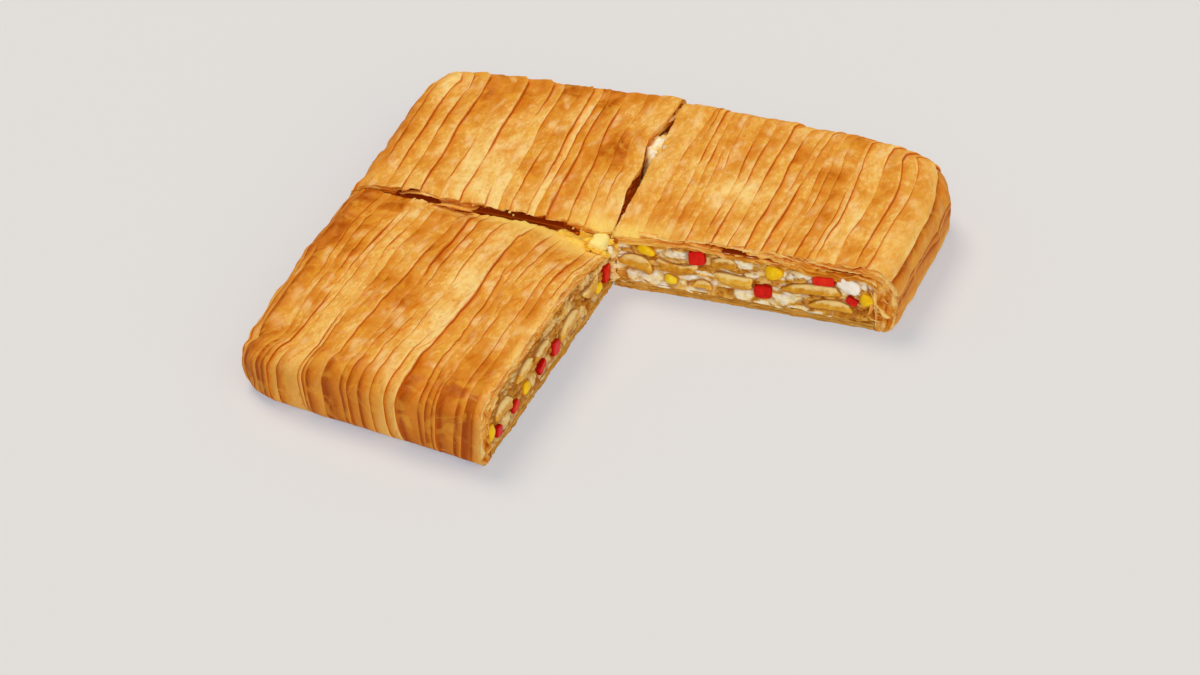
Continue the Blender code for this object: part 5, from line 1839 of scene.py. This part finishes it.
# %% [markdown]
# The crossing of the cuts isn't empty: melted cheese and butter ran over it. The pool is a thin
# sheet that follows the tops of the three corners, which lie at different heights, and hangs over
# the open corner. Soft lumps lie on it and round the yellow block. A lump is a ball that a noise
# has pushed out of shape, half sunk into what it lies on.

# %% Butter at the crossing
POOL_MIDDLE = (-9.5, -2.0)
POOL_REACH = (12.5, 7.0)
POOL_LIP = 0.8 * MM  # how far it hangs over the open corner
BUTTER_LUMPS = (  # round the melted block, in millimetres beside the crossing
    (-9.8, -4.4, 26.4),
    (-8.4, -8.2, 25.2),
    (-4.6, -9.6, 24.6),
    (-1.4, -8.4, 23.4),
    (-0.6, -1.2, 25.6),
    (-4.6, 0.4, 27.2),
)


def crust_top(x, y):
    """How high the corners of the quarters stand around the crossing."""
    left_front = CRUST_HEIGHT - sag(FRONT_LEFT, np.abs(x), np.abs(y))
    left_back = CRUST_HEIGHT - sag(BACK_LEFT, np.abs(x), np.abs(y))
    right_back = CRUST_HEIGHT - sag(BACK_RIGHT, np.abs(x), np.abs(y))
    to_back = smoothstep(-1.0 * MM, 2.5 * MM, y)
    to_right = smoothstep(-1.5 * MM, 1.5 * MM, x)
    back = left_back * (1.0 - to_right) + right_back * to_right
    return left_front * (1.0 - to_back) + back * to_back


def add_blob(sheet, middle, size, seed, uneven, **values):
    """A lumpy closed blob, in millimetres beside the crossing."""
    around = np.linspace(0.0, 2 * math.pi, 28, endpoint=False)
    turns, tips = np.meshgrid(around, np.linspace(-0.48, 0.48, 16) * math.pi)
    x = np.cos(turns) * np.cos(tips)
    y = np.sin(turns) * np.cos(tips)
    z = np.sin(tips)
    swell = 1.0 + uneven * noise(2.0 * x + seed, 2.0 * y + 2.3 * z, seed)
    local = np.stack([x, y, z], axis=-1) * swell[..., None] * np.array(size) + np.array(middle)
    points = local * MM + crossing
    numbers = sheet.rings(points, flow=local / 5.0, **values)
    sheet.cap(numbers[0])
    sheet.cap(numbers[-1])


def add_pool(sheet):
    """The thin pool: an upper and a lower disc of rings, sewn together at the rim."""
    turns = np.linspace(0.0, 2 * math.pi, 120, endpoint=False)[None, :]
    rings = np.linspace(0.02, 1.0, 40)[:, None]
    ragged = 1.0 + 0.24 * noise(turns * 2.2, 0.0 * turns, 91)
    ragged = ragged + 0.16 * noise(turns * 5.4, 0.0 * turns, 92)
    ragged = ragged * (1.0 - 0.30 * bump(turns, 2.5, 0.5))
    x = (POOL_MIDDLE[0] + POOL_REACH[0] * rings * np.cos(turns) * ragged) * MM
    y = (POOL_MIDDLE[1] + POOL_REACH[1] * rings * np.sin(turns) * ragged) * MM
    over = np.minimum(x, -y) > POOL_LIP
    x, y = np.where(over & (x < -y), POOL_LIP, x), np.where(over & (x >= -y), -POOL_LIP, y)
    hang = 1.4 * np.maximum(0.0, np.minimum(x, -y))
    bulge = 0.9 * MM * (1.0 - rings**4) + 0.8 * MM * noise(x / MM / 2.6, y / MM / 2.2, 93)
    top = crust_top(x, y) - hang + bulge - 0.6 * MM
    under = top - (0.4 + 1.4 * (1.0 - rings**2)) * MM
    white = 0.62 + 0.25 * noise(x / MM / 3.0, y / MM / 3.0, 94)
    edges = []
    for z in (top, under):
        points = np.stack([x, y, z], axis=-1) + crossing
        flow = np.stack([x / MM / 5.0, y / MM / 5.0, z / MM / 5.0], axis=-1)
        numbers = sheet.rings(points, rim=0.25 * rings**3 + 0.0 * x, tone=white, flow=flow)
        sheet.cap(numbers[0])
        edges.append(numbers[-1])
    rim = np.vstack(edges)
    sheet.join(np.hstack([rim, rim[:, :1]]))


def add_butter_lumps(sheet):
    """Lumps round the block, and a row of them that runs along the cross cut to the left."""
    for number, place in enumerate(BUTTER_LUMPS):
        add_blob(sheet, place, (2.5, 2.0, 1.5), 190 + number, 0.35, rim=0.1, tone=0.6)
    draw = random.Random(41)
    for number in range(11):
        x = -26.0 + 2.3 * number
        y = draw.uniform(-1.5, 1.4)
        height = float(crust_top(np.array(x * MM), np.array(-2.0 * MM))) / MM
        place = (x, y, height + draw.uniform(-0.8, 0.6) - 0.10 * number)
        reach = (draw.uniform(2.0, 3.6), draw.uniform(1.5, 2.6), draw.uniform(1.2, 1.9))
        add_blob(sheet, place, reach, 150 + number, 0.4, rim=0.1, tone=draw.uniform(0.5, 1.0))


butter = Sheet()
add_pool(butter)
BUTTER = (shade(248, 172, 30), shade(254, 204, 66), shade(255, 228, 126), shade(248, 180, 44))
melted_butter = wet_piece("melted_butter", *BUTTER)
add_butter_lumps(butter)
butter.finish("melted_butter", melted_butter, "melted_cheese")

# %% [markdown]
# Under the pool sauce stands in the crossing. It is a stack of lumps that grows darker upward,
# where it was browned, with two pale lumps and a toasted one that show at the open corner.

# %% Sauce at the crossing
CROSSING_LUMPS = (  # place beside the crossing in millimetres, reach, white, dark
    ((1.6, -0.3, 25.8), (1.8, 1.0, 1.5), 0.10, 1.0),
    ((-0.2, -3.4, 21.6), (1.6, 1.4, 2.6), 0.85, 0.0),
    ((0.6, -1.6, 19.2), (1.7, 1.5, 2.2), 0.65, 0.1),
)
standing_sauce = Sheet()
lump_draw = random.Random(8)
for level in range(9):
    place = (lump_draw.uniform(-1.4, 0.6), lump_draw.uniform(-0.6, 1.8), 3.0 + 2.5 * level)
    reach = (lump_draw.uniform(2.0, 3.0), lump_draw.uniform(1.8, 2.6), lump_draw.uniform(1.6, 2.4))
    pale = lump_draw.uniform(0.45, 0.95) * (1.0 - 0.085 * level)
    add_blob(standing_sauce, place, reach, 60 + level, 0.25, white=pale)
for number, (place, reach, pale, toasted) in enumerate(CROSSING_LUMPS):
    add_blob(standing_sauce, place, reach, 200 + number, 0.3, white=pale, dark=toasted)
standing_sauce.finish("sauce_at_the_crossing", SAUCE, "filling")

# %% [markdown]
# Sauce also stands in the two closed cuts, as a lumpy strip from wall to wall, painted dark as
# shade where the slot is narrow. In the side cut it rises into a pale heap where that cut stands
# wide, and lumps of it lie along the back left crust. A thin pale bead runs toward the crossing.

# %% Sauce in the closed cuts
WIDE_MIDDLE, WIDE_SPREAD = 86.0, 24.0  # where the side cut stands wide, in millimetres along it


def fill_cut(sheet, quarters, cut, places, top, white, seed):
    """Sauce that stands in a closed cut between two quarters, up to a height in millimetres."""
    along = places[:, None] * MM
    share = np.linspace(0.0, 1.0, 14)[None, :, None]
    walls = [cut_place(quarter, cut, along, 0.6 * MM, 0.0 * along) for quarter in quarters]
    points = walls[0] * (1.0 - share) + walls[1] * share
    x = points[..., 0] / MM
    y = points[..., 1] / MM
    lumps = 1.2 * noise(x / 2.4, y / 3.2, seed) + 0.5 * noise(x / 1.1, y / 1.3, seed + 1)
    dome = 1.2 * np.sin(math.pi * share[..., 0])
    points[..., 2] = (top[:, None] + lumps + dome) * MM
    ends = [points[:, :1].copy(), points[:, -1:].copy()]
    for end in ends:
        end[..., 2] = 1.0 * MM
    points = np.concatenate([ends[0], points, ends[1]], axis=1)
    x = points[..., 0] / MM
    y = points[..., 1] / MM
    pale = white[:, None] + 0.3 * noise(x / 2.0, y / 3.0, seed + 2)
    # The less white the sauce, the more painted shade on it.
    dark = np.clip(1.2 - 1.6 * white[:, None], 0.0, 1.0) + 0.0 * pale
    numbers = sheet.grid(points, white=pale, dark=dark, flow=points / MM / 10.0)
    sheet.join(numbers[:, [0, -1]])
    sheet.cap(numbers[0])
    sheet.cap(numbers[-1, ::-1])


cut_sauce = Sheet()
places = np.linspace(3.0, 128.0, 300)
rise = bump(places, 84.0, 25.0)
# Where the side cut is narrow the sauce is less white and painted dark as shade.
heap = (20.5 + 9.5 * rise, 0.05 + 0.75 * rise)  # how high it stands and how white it is
fill_cut(cut_sauce, (BACK_LEFT, BACK_RIGHT), "side", places, *heap, 131)
places = np.linspace(3.0, 126.0, 260)
level = (23.0 + 0.0 * places, 0.1 + 0.0 * places)
fill_cut(cut_sauce, (BACK_LEFT, FRONT_LEFT), "cross", places, *level, 137)
for step in range(18):
    y = 58.0 + 3.4 * step
    wide = 5.6 * math.exp(-(((y - WIDE_MIDDLE) / WIDE_SPREAD) ** 2))
    place = (0.2 - wide * lump_draw.uniform(0.25, 0.9), y, 29.2 + lump_draw.uniform(-1.2, 1.0))
    reach = (lump_draw.uniform(1.2, 2.2), lump_draw.uniform(2.4, 4.2), lump_draw.uniform(1.2, 1.8))
    tones = {"white": lump_draw.uniform(0.3, 1.0), "dark": lump_draw.choice((0.0, 0.0, 0.4))}
    add_blob(cut_sauce, place, reach, 120 + step, 0.35, **tones)
for step in range(7):
    place = (-0.1, 2.5 + 2.4 * step, 27.2 + 0.28 * step + lump_draw.uniform(-0.2, 0.2))
    add_blob(cut_sauce, place, (1.0, 2.6, 1.2), 160 + step, 0.2, white=0.45, dark=0.0)
cut_sauce.finish("sauce_in_the_cuts", SAUCE, "filling")

# %% [markdown]
# A few crumbs of pastry fell beside the cuts.

# %% Crumbs
CRUMBS = (  # places beside the crossing, height and size in millimetres
    (-53.0, 1.5, 31.0, 1.5),
    (-51.0, 0.8, 30.0, 1.0),
    (-20.0, 0.5, 28.5, 1.2),
    (-16.0, 0.2, 28.0, 1.3),
    (-72.0, 1.0, 31.5, 0.9),
    (-36.0, -1.5, 26.5, 1.0),
    (8.0, 3.0, 28.5, 1.1),
    (20.0, 1.5, 30.0, 0.8),
)
crumbs = Sheet()
for number, (x, y, height, size) in enumerate(CRUMBS):
    reach = (size / 2, size / 2, size / 2.4)
    add_blob(crumbs, (x, y, height), reach, 80 + number, 0.35, baked=0.05)
crumbs.finish("crumbs", PASTRY, "crust")

# %% [markdown]
# The pie was photographed from its front right corner, from above, with a long lens. The camera is
# given by the direction it looks from, its distance, and a slight roll, and it aims at a point
# beside the crossing of the cuts.

# %% The camera
VIEW_AZIMUTH = 0.3559  # radians, as the next two angles
VIEW_HEIGHT = 0.5887
VIEW_ROLL = -0.0255
VIEW_DISTANCE = 1.3375
VIEW_TARGET = crossing + np.array([0.0196, -0.0729, 0.02])
LENS = 87.33


def add_camera():
    back = Vector(
        (
            math.sin(VIEW_AZIMUTH) * math.cos(VIEW_HEIGHT),
            -math.cos(VIEW_AZIMUTH) * math.cos(VIEW_HEIGHT),
            math.sin(VIEW_HEIGHT),
        )
    )
    right = Vector((math.cos(VIEW_AZIMUTH), math.sin(VIEW_AZIMUTH), 0.0))
    up = back.cross(right)
    rolled_right = right * math.cos(VIEW_ROLL) + up * math.sin(VIEW_ROLL)
    rolled_up = up * math.cos(VIEW_ROLL) - right * math.sin(VIEW_ROLL)
    data = bpy.data.cameras.new("camera")
    data.lens = LENS
    data.sensor_width = 36.0
    made = bpy.data.objects.new("camera", data)
    bpy.context.scene.collection.objects.link(made)
    turn = Matrix((rolled_right, rolled_up, back)).transposed().to_4x4()
    made.matrix_world = Matrix.Translation(Vector(VIEW_TARGET) + back * VIEW_DISTANCE) @ turn
    bpy.context.scene.camera = made
    print("The camera stands at", [round(value, 3) for value in made.location])


add_camera()

# %% [markdown]
# A pale, plain floor and soft studio light. A wide key sun from behind on the left makes the soft
# shadows, a very wide one from the front on the right fills them, and an even, weak sky lights the
# rest. The crust throws orange light on the floor around it. The pie stood on a table that stayed
# neutral, so part of the floor's own light comes from within, most of it in blue and least in red.

# %% Floor and light
FLOOR_COLOUR = shade(226, 222, 218)
FLOOR_GLOW = (0.34, 0.46, 0.58)  # share of the light from within, in red, green and blue
KEY_SUN = ((0.50, -0.38, -1.06), 1.51, 30.0)  # direction, strength and softness in degrees
FILL_SUN = ((-0.62, 0.72, -0.60), 1.50, 80.0)
SKY_STRENGTH = 0.32


def add_floor():
    half = 4.0
    corners = [(-half, -half, 0.0), (half, -half, 0.0), (half, half, 0.0), (-half, half, 0.0)]
    mesh = bpy.data.meshes.new("floor")
    mesh.from_pydata(corners, [], [(0, 1, 2, 3)])
    made = bpy.data.objects.new("floor", mesh)
    bpy.context.scene.collection.objects.link(made)
    finish = Finish("pale_floor", 0.9, Specular_IOR_Level=0.0, Emission_Strength=1.0)
    lit = [value * (1.0 - share) for value, share in zip(FLOOR_COLOUR, FLOOR_GLOW)]
    glow = [value * share for value, share in zip(FLOOR_COLOUR, FLOOR_GLOW)]
    finish.set(Base_Color=(*lit, 1.0), Emission_Color=(*glow, 1.0))
    mesh.materials.append(finish.material)


def add_sun(name, direction, strength, softness):
    """A far light that shines along a direction, as wide in the sky as its softness in degrees."""
    data = bpy.data.lights.new(name, "SUN")
    data.energy = strength
    data.angle = math.radians(softness)
    made = bpy.data.objects.new(name, data)
    made.rotation_euler = Vector(direction).to_track_quat("-Z", "Y").to_euler()
    bpy.context.scene.collection.objects.link(made)


def add_sky(colour, strength):
    world = bpy.data.worlds.new("studio")
    world.use_nodes = True
    background = world.node_tree.nodes["Background"]
    background.inputs["Color"].default_value = colour
    background.inputs["Strength"].default_value = strength
    bpy.context.scene.world = world


add_floor()
add_sun("key", *KEY_SUN)
add_sun("fill", *FILL_SUN)
add_sky((1.0, 1.0, 1.0, 1.0), SKY_STRENGTH)
bpy.context.scene.view_settings.view_transform = "Standard"
